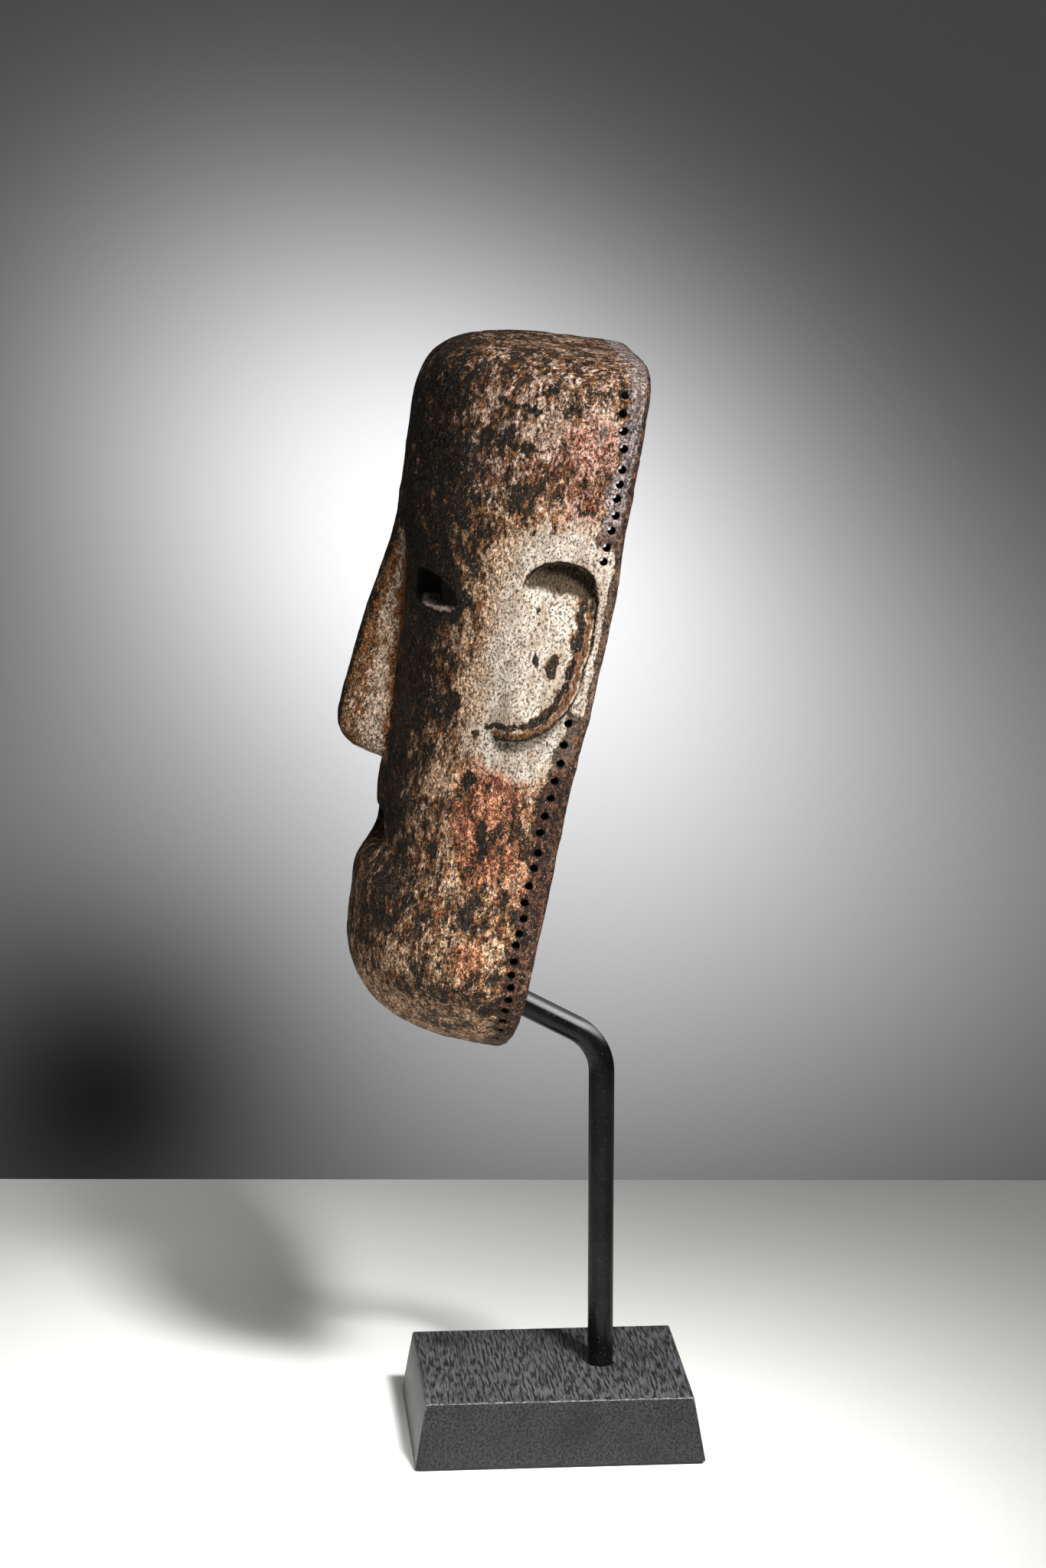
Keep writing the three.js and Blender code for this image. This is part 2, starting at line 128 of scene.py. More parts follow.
# How fine the meshes are, and the space that each field fills.
SKIN_STEP = 1.15
SKIN_SPACE = ((-82, -5, -28), (82, 92, 252))
HOLLOW_STEP = 3.0
HOLLOW_SPACE = ((-70, -9, -20), (70, 76, 242))
HOLLOW_BEHIND = 6

# Direction that no bar runs along, and the squeeze that makes marks run along the wood's grain.
ASKEW = (0.31, 0.52, 0.79)
GRAIN = (1, 1, 0.6)


def mix(a, b, t):
    return a + (b - a) * t


def smooth(t):
    t = np.clip(t, 0, 1)
    return t * t * (3 - 2 * t)


def ramp(value, start, end):
    """Goes smoothly from 0 at the start to 1 at the end, which may be the lower of the two."""
    return smooth((value - start) / (end - start))


def hump(value, middle, spread):
    return np.exp(-(((value - middle) / spread) ** 2))


def smooth_min(a, b, k):
    h = np.clip(0.5 + 0.5 * (b - a) / k, 0, 1)
    return mix(b, a, h) - k * h * (1 - h)


def smooth_max(a, b, k):
    return -smooth_min(-a, -b, k)


def along(stations, at):
    """Smooth curve through (position, value) stations, read at an array of positions."""
    place, value = np.array(stations, float).T
    gap = np.diff(place)
    slope = np.diff(value) / gap
    tangent = np.concatenate(([slope[0]], np.empty(len(gap) - 1), [slope[-1]]))
    tangent[1:-1] = (slope[:-1] * gap[1:] + slope[1:] * gap[:-1]) / (gap[:-1] + gap[1:])
    at = np.clip(at, place[0], place[-1])
    i = np.clip(np.searchsorted(place, at) - 1, 0, len(gap) - 1)
    t = (at - place[i]) / gap[i]
    bend = (t**3 - 2 * t**2 + t) * gap[i] * tangent[i] + (t**3 - t**2) * gap[i] * tangent[i + 1]
    return mix(value[i], value[i + 1], 3 * t**2 - 2 * t**3) + bend


def scatter(seed):
    """A repeatable scatter between -1 and 1."""
    wave = math.sin(seed * 12.9898) * 43758.5453
    return 2 * (wave - math.floor(wave)) - 1


def lattice(cell, seed):
    """Random values between -1 and 1 at whole-number places."""
    h = cell[..., 0] * 73856093 ^ cell[..., 1] * 19349663 ^ cell[..., 2] * 83492791 ^ seed * 2654435761
    h = (h ^ (h >> 13)) * 1274126177 & 0x7FFFFFFF
    return ((h ^ (h >> 16)) & 0xFFFF) / 32767.5 - 1


def value_noise(points, size, seed):
    """Smooth noise between -1 and 1 whose lumps are about one size across."""
    scaled = points / size
    cell = np.floor(scaled).astype(np.int64)
    t = smooth(scaled - cell)
    total = 0
    for corner in np.ndindex(2, 2, 2):
        weight = np.prod(np.where(corner, t, 1 - t), axis=-1)
        total = total + weight * lattice(cell + corner, seed)
    return total


def fractal(points, size, seed, octaves=3):
    return sum(value_noise(points, size / 2**k, seed + k) / 2**k for k in range(octaves))


class Grid:
    """Even steps of x, u and v, with the coordinates as arrays that broadcast together."""

    def __init__(self, low, high, step):
        self.low = np.array(low, float)
        self.step = step
        self.axes = [np.arange(a, b + step, step) for a, b in zip(low, high)]
        self.x, self.u, self.v = np.meshgrid(*self.axes, indexing="ij", sparse=True)


def as_distance(value, step):
    """Scales a shape function, which is 1 on the surface, to millimetres near the surface."""
    slopes = np.gradient(value, step)
    steepness = np.sqrt(slopes[0] ** 2 + slopes[1] ** 2 + slopes[2] ** 2)
    return (value - 1) / np.maximum(steepness, 1e-4)


def face_shape(grid, side=0, front=0, chin=0, crown=0):
    """Distance to the rounded outside of the mask, or to its hollow when given the walls."""
    n = SQUARENESS
    across = (np.abs(grid.x) / (along(SIDE, grid.v) - side)) ** n
    forward = (np.maximum(grid.u, 0) / (along(FRONT, grid.v) - front)) ** n
    share = forward / (across + forward + 1e-9)
    round_part = (across + forward) ** (1 / n)
    lift = CROWN_BACK.lift * smooth(1 - grid.u / CROWN_BACK.until)
    parts, powers = [], []
    for rounding, end in ((CHIN_ROUND, CHIN + chin), (CROWN_ROUND, CROWN + lift - crown)):
        start, power = [mix(*pair, share) for pair in zip(rounding["width"], rounding["depth"])]
        parts.append((grid.v - start) / (end - start))
        powers.append(power)
    low = grid.v < (CHIN + CROWN) / 2
    end_part = np.maximum(np.where(low, *parts), 0)
    power = np.where(low, *powers)
    return as_distance((round_part**power + end_part**power) ** (1 / power), grid.step)


def nose_shape(grid):
    n, power = NOSE.squareness, NOSE.round_power
    face = along(FRONT, grid.v)
    into_tip = np.clip((NOSE.round_from - grid.v) / (NOSE.round_from - NOSE.tip), 0, 1)
    left = (1 - into_tip**power) ** (1 / power)
    proud = (along(NOSE_RIDGE, grid.v) - face) * left + NOSE.bury
    half = along(NOSE_HALF, grid.v) * mix(NOSE.tip_share, 1, left)
    across = (np.abs(grid.x) / half) ** n
    forward = (np.abs(grid.u - face + NOSE.bury) / proud) ** n
    ends = np.maximum(NOSE.tip - grid.v, grid.v - NOSE.root)
    return np.maximum(as_distance((across + forward) ** (1 / n), grid.step), ends)


def slot_shape(grid, slot):
    """Distance to a rounded slot, cut the way it looks, whose lower lip slopes down outwards."""
    across, corner = slot.across, slot.corner
    middle = (slot.low + slot.high) / 2
    depth = along(FRONT, middle) * (1 - (across / along(SIDE, middle)) ** SQUARENESS) ** (1 / SQUARENESS)
    turn = math.radians(slot.turn)
    from_middle = np.abs(grid.x) - across if across else grid.x
    sideways = from_middle * math.cos(turn) - (grid.u - depth) * math.sin(turn)
    outwards = from_middle * math.sin(turn) + (grid.u - depth) * math.cos(turn)
    past_end = np.abs(sideways) - (slot.half - corner)
    to_corner = (sideways / slot.half - CLOSING.start) / (1 - CLOSING.start)
    to_corner = np.clip(to_corner, 0, CLOSING.most) ** CLOSING.power
    low = slot.low + slot.lift * to_corner * np.clip(-outwards / slot.depth, 0, 1)
    low = low - slot.slope * np.maximum(outwards + slot.depth, 0)
    past_edge = np.maximum(grid.v - slot.high + slot.droop * to_corner, low - grid.v) + corner
    outside = np.hypot(np.maximum(past_end, 0), np.maximum(past_edge, 0))
    flat = outside + np.minimum(np.maximum(past_end, past_edge), 0) - corner
    return np.maximum(flat, -outwards - SLOT_INWARD)


def ear_edge(steps=24):
    """Points along the C-shaped edge of the ear."""
    t = np.linspace(0, 1, steps, endpoint=False)[:, None]
    left = 1 - t
    weights = (left**3, 3 * left**2 * t, 3 * left * t**2, t**3)
    edge = np.array(EAR_EDGE)
    parts = [sum(w * p for w, p in zip(weights, edge[k:k + 4])) for k in range(0, len(edge) - 1, 3)]
    return np.vstack([*parts, edge[-1]])


def to_outline(u, v, outline):
    """Distance to a run of straight pieces, and the share of the run where the nearest place is."""
    best = np.full(np.broadcast(u, v).shape, np.inf)
    where = np.zeros_like(best)
    lengths = np.concatenate(([0], np.cumsum(np.hypot(*np.diff(outline, axis=0).T))))
    for k, (a, b) in enumerate(zip(outline[:-1], outline[1:])):
        run = b - a
        t = np.clip(((u - a[0]) * run[0] + (v - a[1]) * run[1]) / (run @ run), 0, 1)
        gap = np.hypot(u - a[0] - t * run[0], v - a[1] - t * run[1])
        nearer = gap < best
        best = np.where(nearer, gap, best)
        where = np.where(nearer, mix(lengths[k], lengths[k + 1], t) / lengths[-1], where)
    return best, where


def within(u, v, outline):
    """True inside a closed outline."""
    inside = np.zeros(np.broadcast(u, v).shape, bool)
    for a, b in zip(outline, np.roll(outline, -1, axis=0)):
        crosses = (a[1] > v) != (b[1] > v)
        at = a[0] + (v - a[1]) * (b[0] - a[0]) / (b[1] - a[1] if b[1] != a[1] else 1)
        inside ^= crosses & (u < at)
    return inside


def ear_maps(u, v):
    """Signed distance to the ear's outline and to its C-shaped edge, place along it, and its plate."""
    edge = ear_edge()
    outline = np.vstack([edge, EAR_FRONT])
    inside = np.where(within(u, v, outline), -1, 1)
    closed = to_outline(u, v, np.vstack([outline, outline[:1]]))[0] * inside
    open_edge, place = to_outline(u, v, edge)
    top, lobe = EAR_EDGE[3][1], EAR_EDGE[-1][1]
    down = np.clip((top - v) / (top - lobe), 0, 1)
    start = mix(EAR_FADE.start_at_top, EAR_FADE.start_at_lobe, down)
    proud = along(EAR_PLATE, v) * (1 - ramp(u, start, EAR_FADE.end))
    return closed, open_edge * inside, place, proud


def side_surface(u, v):
    """Half width of the mask at a place on its side, away from its rounded ends."""
    part = np.clip(np.maximum(u, 0) / along(FRONT, v), 0, 0.999)
    return along(SIDE, v) * (1 - part**SQUARENESS) ** (1 / SQUARENESS)


def add_ears(grid, wood):
    """Sinks the top of each ear's plate, raises its lobe and lays the worn ridge round its back."""
    near_u = grid.axes[1] < EAR_FRONT[0][0] + EAR_MARGIN
    near_v = (grid.axes[2] > EAR_HEIGHTS[0]) & (grid.axes[2] < EAR_HEIGHTS[1])
    region = np.ix_(np.arange(len(grid.axes[0])), near_u, near_v)
    u = grid.axes[1][near_u][:, None]
    v = grid.axes[2][near_v][None, :]
    closed, open_edge, place, proud = ear_maps(u, v)
    surface = side_surface(u, v)
    slope_u, slope_v = np.gradient(surface, grid.step)
    flatten = 1 / np.sqrt(1 + slope_u**2 + slope_v**2)
    out = np.abs(grid.axes[0])[:, None, None] - surface
    plate = (out - proud) * flatten
    part = smooth_max(wood[region], -np.maximum(closed, -plate), EAR_BLEND)
    part = smooth_min(part, np.maximum(closed, plate), EAR_BLEND)
    fade = smooth((place - EAR_RIM.starts) / EAR_RIM.fade)
    fade = fade * smooth((EAR_RIM.ends - place) / EAR_RIM.fade)
    above = plate + EAR_RIM.sunk + EAR_RIM.dive * (1 - fade)
    ridge = np.hypot(open_edge + EAR_RIM.inset, above) - EAR_RIM.radius
    wood[region] = smooth_min(part, ridge, EAR_RIM.blend)


def mask_skin():
    """The whole outside of the mask as a grid and its field, less than zero in the wood."""
    grid = Grid(*SKIN_SPACE, SKIN_STEP)
    wood = smooth_min(face_shape(grid), nose_shape(grid), NOSE.fillet)
    add_ears(grid, wood)
    for slot in (EYE, MOUTH):
        wood = smooth_max(wood, -slot_shape(grid, slot), slot.blend)
    bulge = RIM_BULGE.back * hump(grid.v, RIM_BULGE.middle, RIM_BULGE.spread)
    return grid, smooth_max(wood, -grid.u - bulge + 0 * grid.x, RIM_BLEND)


def mask_hollow():
    """The hollow of the mask, which runs out behind the rim, as a grid and its field."""
    grid = Grid(*HOLLOW_SPACE, HOLLOW_STEP)
    return grid, np.maximum(face_shape(grid, **WALL), -grid.u - HOLLOW_BEHIND)


def sample(grid, field, points):
    """The field between the grid's points."""
    place = np.clip((points - grid.low) / grid.step, 0, np.array(field.shape) - 1.001)
    cell = place.astype(int)
    t = place - cell
    total = 0
    for corner in np.ndindex(2, 2, 2):
        weight = np.prod(np.where(corner, t, 1 - t), axis=1)
        total = total + weight * field[tuple((cell + corner).T)]
    return total


def slope_at(grid, field, points):
    """Direction in which the field rises fastest, and how fast."""
    reach = grid.step / 2
    rise = [sample(grid, field, points + d) - sample(grid, field, points - d) for d in np.eye(3) * reach]
    rise = np.stack(rise, axis=1) / (2 * reach)
    steepness = np.linalg.norm(rise, axis=1, keepdims=True) + 1e-6
    return rise / steepness, steepness[:, 0]


def surface_net(grid, field):
    """Points and four-sided faces of the surface where the field is zero, facing the positive side."""
    inside = field < 0
    shape = np.array(field.shape) - 1
    corners = list(np.ndindex(2, 2, 2))
    parts = [inside[i:i + shape[0], j:j + shape[1], k:k + shape[2]] for i, j, k in corners]
    count = sum(part.astype(np.int8) for part in parts)
    cells = np.argwhere((count > 0) & (count < len(corners)))
    total = np.zeros((len(cells), 3))
    hits = np.zeros(len(cells))
    steps = np.eye(3, dtype=int)
    for a in corners:
        for b in a + steps:
            if b.max() > 1:
                continue
            at_a, at_b = field[tuple((cells + a).T)], field[tuple((cells + b).T)]
            crosses = (at_a < 0) != (at_b < 0)
            t = np.where(crosses, at_a / np.where(crosses, at_a - at_b, 1), 0)
            total += (a + t[:, None] * (b - a)) * crosses[:, None]
            hits += crosses
    points = grid.low + (cells + total / hits[:, None]) * grid.step
    index = np.full(shape, -1)
    index[tuple(cells.T)] = np.arange(len(cells))
    faces = []
    for axis in range(3):
        second, third = steps[(axis + 1) % 3], steps[(axis + 2) % 3]
        before = np.take(inside, range(shape[axis]), axis)
        after = np.take(inside, range(1, shape[axis] + 1), axis)
        for wood, air, turn in ((before, after, 1), (after, before, -1)):
            edges = np.argwhere(wood & ~air)
            around = (edges, edges - second, edges - second - third, edges - third)
            faces.append(np.stack([index[tuple(cell.T)] for cell in around], axis=1)[:, ::turn])
    for _ in range(2):
        direction, steepness = slope_at(grid, field, points)
        move = np.clip(sample(grid, field, points) / steepness, -grid.step / 2, grid.step / 2)
        points = points - direction * move[:, None]
    return points, np.vstack(faces)


def scene_object(name, data):
    made = bpy.data.objects.new(name, data)
    bpy.context.scene.collection.objects.link(made)
    return made


def mesh_object(name, points, faces):
    """A mesh object from points in millimetres."""
    mesh = bpy.data.meshes.new(name)
    mesh.from_pydata((np.asarray(points) * MM).tolist(), [], faces)
    mesh.update()
    return scene_object(name, mesh)


def vertex_places(mesh):
    """The places of the vertices in millimetres."""
    places = np.empty(len(mesh.vertices) * 3)
    mesh.vertices.foreach_get("co", places)
    return places.reshape(-1, 3) / MM


def store_layer(mesh, name, values):
    """Keeps one value for each vertex, which a material reads by its name."""
    layer = mesh.attributes.new(name, "FLOAT", "POINT")
    layer.data.foreach_set("value", values.astype(np.float32))


def local(x, u, v):
    """The mask's own frame as Blender axes: forward is -Y."""
    return np.stack([x, -u, v], axis=-1)


def unit(vector):
    return vector / np.linalg.norm(vector)


def ring(middle, across, up, radius, sides):
    """Points round a place, in the plane of two directions."""
    angles = np.linspace(0, 2 * math.pi, sides, endpoint=False)[:, None]
    return middle + radius * (np.array(across) * np.cos(angles) + np.array(up) * np.sin(angles))


def bar_faces(first, rings, sides):
    """The sides and both ends of a bar over rings of points, the first of which has the number given."""
    last = first + (rings - 1) * sides
    faces = []
    for start in range(first, last, sides):
        for k in range(sides):
            a, b = start + k, start + (k + 1) % sides
            faces.append((a, b, b + sides, a + sides))
    return [*faces, range(first, first + sides)[::-1], range(last, last + sides)]


def cylinders(name, ends, radius, sides=16, start_share=1.0):
    """Closed round bars from each start, whose radius can be a share of the rest, to each end."""
    points, faces = [], []
    for start, end in ends:
        axis = unit(end - start)
        across = unit(np.cross(axis, ASKEW))
        up = np.cross(axis, across)
        faces += bar_faces(len(points), 2, sides)
        for middle, size in ((start, radius * start_share), (end, radius)):
            points += [*ring(middle, across, up, size, sides)]
    return mesh_object(name, points, faces)


def end_share(at, end, start, power):
    return (1 - min(max((at - start) / (end - start), 0), 1) ** power) ** (1 / power)


def share_left(v, way):
    """Share of the full width or depth that the rounded chin and crown leave at a height."""
    return end_share(v, CHIN, *CHIN_ROUND[way]) * end_share(v, CROWN, *CROWN_ROUND[way])


def half_width(v):
    return float(along(SIDE, v)) * share_left(v, "width")


def lacing_places():
    """Forward and upward place of each lacing hole."""
    places = []
    for row in (UPPER_ROW, LOWER_ROW):
        for k in range(row.count):
            t = k / (row.count - 1)
            v = row.first - row.step * k - row.change * k * k
            u = mix(row.start, row.end, t) + 4 * row.swell * t * (1 - t)
            v += HOLE.scatter_up * scatter(row.seed + k)
            u += HOLE.scatter_forward * scatter(row.seed + k + 0.5)
            places.append((u, v))
    return places


def lacing_tool():
    """Tapered bars for all lacing holes, square to the outline of the rim."""
    ends = []
    for u, v in lacing_places():
        part = min(u / (float(along(FRONT, v)) * share_left(v, "depth")), 1)
        x = half_width(v) * (1 - part**SQUARENESS) ** (1 / SQUARENESS)
        outward = unit(np.array([1, 0, half_width(v - 0.5) - half_width(v + 0.5)]))
        middle = np.array([x, -u, v])
        for flip in ((1, 1, 1), (-1, 1, 1)):
            ends.append(((middle - outward * HOLE.inside) * flip, (middle + outward * HOLE.outside) * flip))
    return cylinders("lacing_tool", ends, HOLE.diameter / 2, start_share=1 - HOLE.taper)


def crack_tool():
    """A thin wavy blade that opens the crack in the left side of the rim."""
    path = np.array(CRACK_PATH)
    count = CRACK.steps
    steps = np.linspace(0, len(path) - 1, count)
    wander = [CRACK.wander * scatter(k) for k in range(count)]
    u = np.interp(steps, range(len(path)), path[:, 0]) + wander
    v = np.interp(steps, range(len(path)), path[:, 1])
    half = CRACK.width / 2 * np.interp(steps, (0, len(path) - 1), (1, CRACK.end_share))
    outer, inner, thin = CRACK.outer, CRACK.inner, CRACK.inner_share
    corners = ((outer, 1), (outer, -1), (inner, thin), (inner, -thin))
    points = [(x, half[k] * share - u[k], v[k]) for k in range(count) for x, share in corners]
    quads = ((0, 1, 5, 4), (2, 6, 7, 3), (0, 4, 6, 2), (1, 3, 7, 5))
    end = len(points) - len(corners)
    faces = [[first + k for k in quad] for first in range(0, end, len(corners)) for quad in quads]
    faces += [[0, 2, 3, 1], [end, end + 1, end + 3, end + 2]]
    return mesh_object("crack_tool", points, faces)


def rod_directions():
    """The place where the two straight legs of the rod would meet, and the way its upper leg runs."""
    rise = math.radians(ROD.rise)
    corner = np.array([0, ROD.behind, ROD.corner_height])
    forward = np.array([0, -math.cos(rise), math.sin(rise)])
    return corner, forward


def socket_tool(pose):
    """The blind hole inside the chin for the end of the rod."""
    corner, forward = rod_directions()
    into_mask = pose.inverted()
    places = []
    for reach in (ROD.reach - SOCKET_DEPTH, ROD.reach + FIT):
        place = into_mask @ (Vector(corner + forward * reach) * MM)
        places.append(np.array(place) / MM)
    return cylinders("socket_tool", [places], ROD.diameter / 2 + FIT, 40)


def cut(target, *tools):
    """Takes the tools out of the target and throws them away."""
    for tool in tools:
        step = target.modifiers.new("cut", "BOOLEAN")
        step.operation = "DIFFERENCE"
        step.solver = "MANIFOLD"
        step.object = tool
    evaluated = target.evaluated_get(bpy.context.evaluated_depsgraph_get())
    mesh = bpy.data.meshes.new_from_object(evaluated)
    mesh.materials.clear()
    target.modifiers.clear()
    old = target.data
    target.data = mesh
    bpy.data.meshes.remove(old)
    for tool in tools:
        bpy.data.objects.remove(tool)


def worn(points, direction):
    """Hand carving and worn paint: a slightly uneven surface."""
    hewn = fractal(points, 17, 11, 2) * WEAR.marks
    hewn += fractal(points * GRAIN, 5, 21, 2) * WEAR.grain
    pitted = np.clip(fractal(points, 3.2, 31, 2) - 0.55, 0, 1) * WEAR.pits
    crust = ramp(fractal(points, 4.4, 41), 0.1, 0.35) * WEAR.crust
    return points + direction * (hewn - pitted + crust)[:, None]


# Unevenness of the skin and of the gouged inside, as heights in millimetres.
WEAR = Named(marks=0.3, grain=0.13, pits=0.7, crust=0.12, gouges=0.5)

# Paint on the mask: each entry is (forward, height, half length forward, half length up, change).
# "level" is how much light crust is left, "red" and "cream" are its hue, the soot patches darken spots and
# the bare patches are pale scraped wood. The paint adds painted shade to the soot, and the painted highlight
# of the eye slot's lip to the bare wood.
PATCHES = {
    "level": (
        (20, 122, 25, 32, 0.5), (20, 162, 24, 26, 0.48), (43, 150, 12, 46, 0.05), (24, 100, 24, 10, 0.02),
        (20, 205, 15, 24, 0.1), (34, 222, 6, 14, 0.18), (50, 222, 14, 20, 0.1), (16, 224, 4, 9, 0.2),
        (17, 221, 8, 13, 0.22), (37, 196, 6, 9, -0.06), (60, 195, 8, 22, -0.07), (24, 88, 16, 10, 0.04),
        (32, 70, 20, 30, 0.06), (14, 52, 4, 9, 0.3), (15, 25, 5, 7, 0.15), (12, 79, 2.5, 7, 0.2),
        (36, 38, 14, 24, 0.08), (30, 10, 24, 9, -0.02), (46, 4, 13, 17, 0.09), (32, -8, 34, 12, 0.1),
        (10, 240, 10, 9, 0.1), (60, 85, 9, 58, -0.08), (30, 243, 40, 8, 0.02), (28, 48, 5, 7, -0.12),
        (26, 33, 8, 5, -0.1), (50, 90, 12, 12, 0.1),
    ),
    "red": (
        (19, 205, 13, 22, 0.85), (16, 228, 12, 12, 0.3), (37, 207, 4, 6, 0.8), (36, 192, 6, 10, 0.3),
        (26, 88, 15, 12, 0.5), (26, 72, 15, 18, 0.62), (20, 48, 14, 18, 0.5), (25, 22, 7, 7, 0.8),
        (64, 228, 12, 16, 0.2), (6, 70, 5, 40, 0.6), (38, 222, 8, 14, 0.3), (40, 75, 14, 30, 0.3),
    ),
    "cream": (
        (19, 125, 20, 36, 1), (19, 160, 20, 30, 1), (24, 104, 20, 10, 0.5), (5, 150, 4, 40, 0.5),
    ),
    "soot_and_shade": (
        (37, 88, 1.9, 4, 1), (54.5, 213, 1.7, 3.4, 0.8), (47, 216, 1.6, 3, 0.8), (38, 194, 4, 6, 0.12),
        (16.5, 136, 1.9, 4.6, 1), (22.3, 137.3, 1.1, 2.2, 1), (29, 70, 1.6, 4, 0.9), (27, 64, 1.4, 3.6, 0.9),
        (37.5, 105, 1.2, 2, 0.8), (47, 115, 1.9, 2.8, 0.8), (60, 152, 9, 12, 0.5), (25, 155, 0.9, 1.4, 0.9),
        (40, 212, 7, 1.6, 0.6), (16, 47, 1, 3, 0.9), (32, 182, 1, 1.6, 0.8), (44, 226, 8, 1.2, 0.5),
    ),
    "bare": (
        (4.2, 238, 1.9, 9, 1), (15.5, 222, 2.2, 6, 0.5),
    ),
}
# How far forward and up the same patches lie on the right side.
OTHER_SIDE = (3, 9)
# The crust is thin on the front. It is thinned in the crease beside the nose, a painted shade, and
# thickened on the nose's flank and its pale strip, a painted highlight.
LEVEL = Named(base=0.5, front=-0.15, crease=-0.16, flank=0.1, pale=0.28, drift=0.06)
# Depth under the skin over which slots and holes are painted black, a painted shade.
DARKENS = (0.5, 1.1)


def patch_sum(name, u, v):
    total = 0
    for middle_u, middle_v, half_u, half_v, change in PATCHES[name]:
        apart = np.hypot((u - middle_u) / half_u, (v - middle_v) / half_v)
        total = total + change * ramp(apart, 1.3, 0.7)
    return total


def nose_paint(x, u, v, wave, ripple):
    """How much of the nose's flank and its pale strip, both painted light, and of the fold beside the nose,
    a painted shade, lies at each place.
    """
    ridge_u = along(NOSE_RIDGE, v)
    crease_u = 57.5 + 0.09 * v
    before_ridge = ridge_u - u + ripple * 0.6
    flank = ramp(np.abs(x), 15, 12) * ramp(u - crease_u, -2, 0) * ramp(before_ridge, 0.9, 3.3)
    flank = flank * ramp(v, 174, 162) * ramp(v, 77, 80)
    back = before_ridge / (ridge_u - crease_u) + 0.05 * wave
    pale = flank * ramp(back, 0.42, 0.67) * ramp(back, 1.05, 0.85)
    crease = ramp(np.abs(x), 25, 19) * ramp(u, 58, 62) * ramp(v, 88, 96) * ramp(v, 172, 152)
    return flank, pale, crease


def ear_paint(x, u, v, ripple):
    """The ear's worn ridge, painted shade in the dark lines along it and on the plate beside it, and the
    painted shadow at the top of its plate.
    """
    closed, edge, place, _ = ear_maps(u, v)
    on_side = (np.abs(x) > 40) & (v > 95) & (v < 182)
    past_start = ramp(place, 0.3, 0.38) * on_side
    on_lobe = ramp(place, 0.7, 0.8)
    ragged = edge + ripple * 0.7
    ridge = hump(ragged, -1.9, 1.2) * past_start
    # Painted shade: dark lines on both sides of the ridge and along the edge of the arch.
    groove_shade = hump(ragged, -0.2 * on_lobe, mix(0.6, 1.0, on_lobe)) + hump(ragged, -4.6, 1.8)
    groove_shade = groove_shade * past_start + hump(edge, 0, 0.8) * ramp(place, 0.32, 0.27) * on_side
    # Painted shade: a band on the plate inside the ridge.
    shade = hump(ragged, -5.4, 1.6) * ramp(place, 0.42, 0.5) * ramp(place, 0.75, 0.65) * on_side
    # Painted shadow: the top of the plate under the ear's overhanging arch is darkened down to where the
    # arch's shadow ends.
    recess = ramp(v + ripple * 0.4, 161.8, 162.7) * ramp(closed, -0.3, -1.0) * on_side
    return ridge, groove_shade, shade, recess


def eye_paint(x, u, v):
    """The eye slot's lower lip painted pale, a painted highlight, its other sides painted dark, a painted
    shade, and where those lie far enough in to be painted black.
    """
    eye = slot_shape(Named(x=x, u=u, v=v), EYE)
    in_eye = (eye < 0.9) & (u > 40)
    # Painted highlight on the slot's lower lip; painted shade on its other sides.
    sill_highlight = in_eye * ramp(v, EYE.low + 2.6, EYE.low + 1.1) * ramp(u, 66, 61)
    wall_shade = in_eye * (1 - sill_highlight)
    return sill_highlight, wall_shade, wall_shade * ramp(eye, 0.8, 0.4)


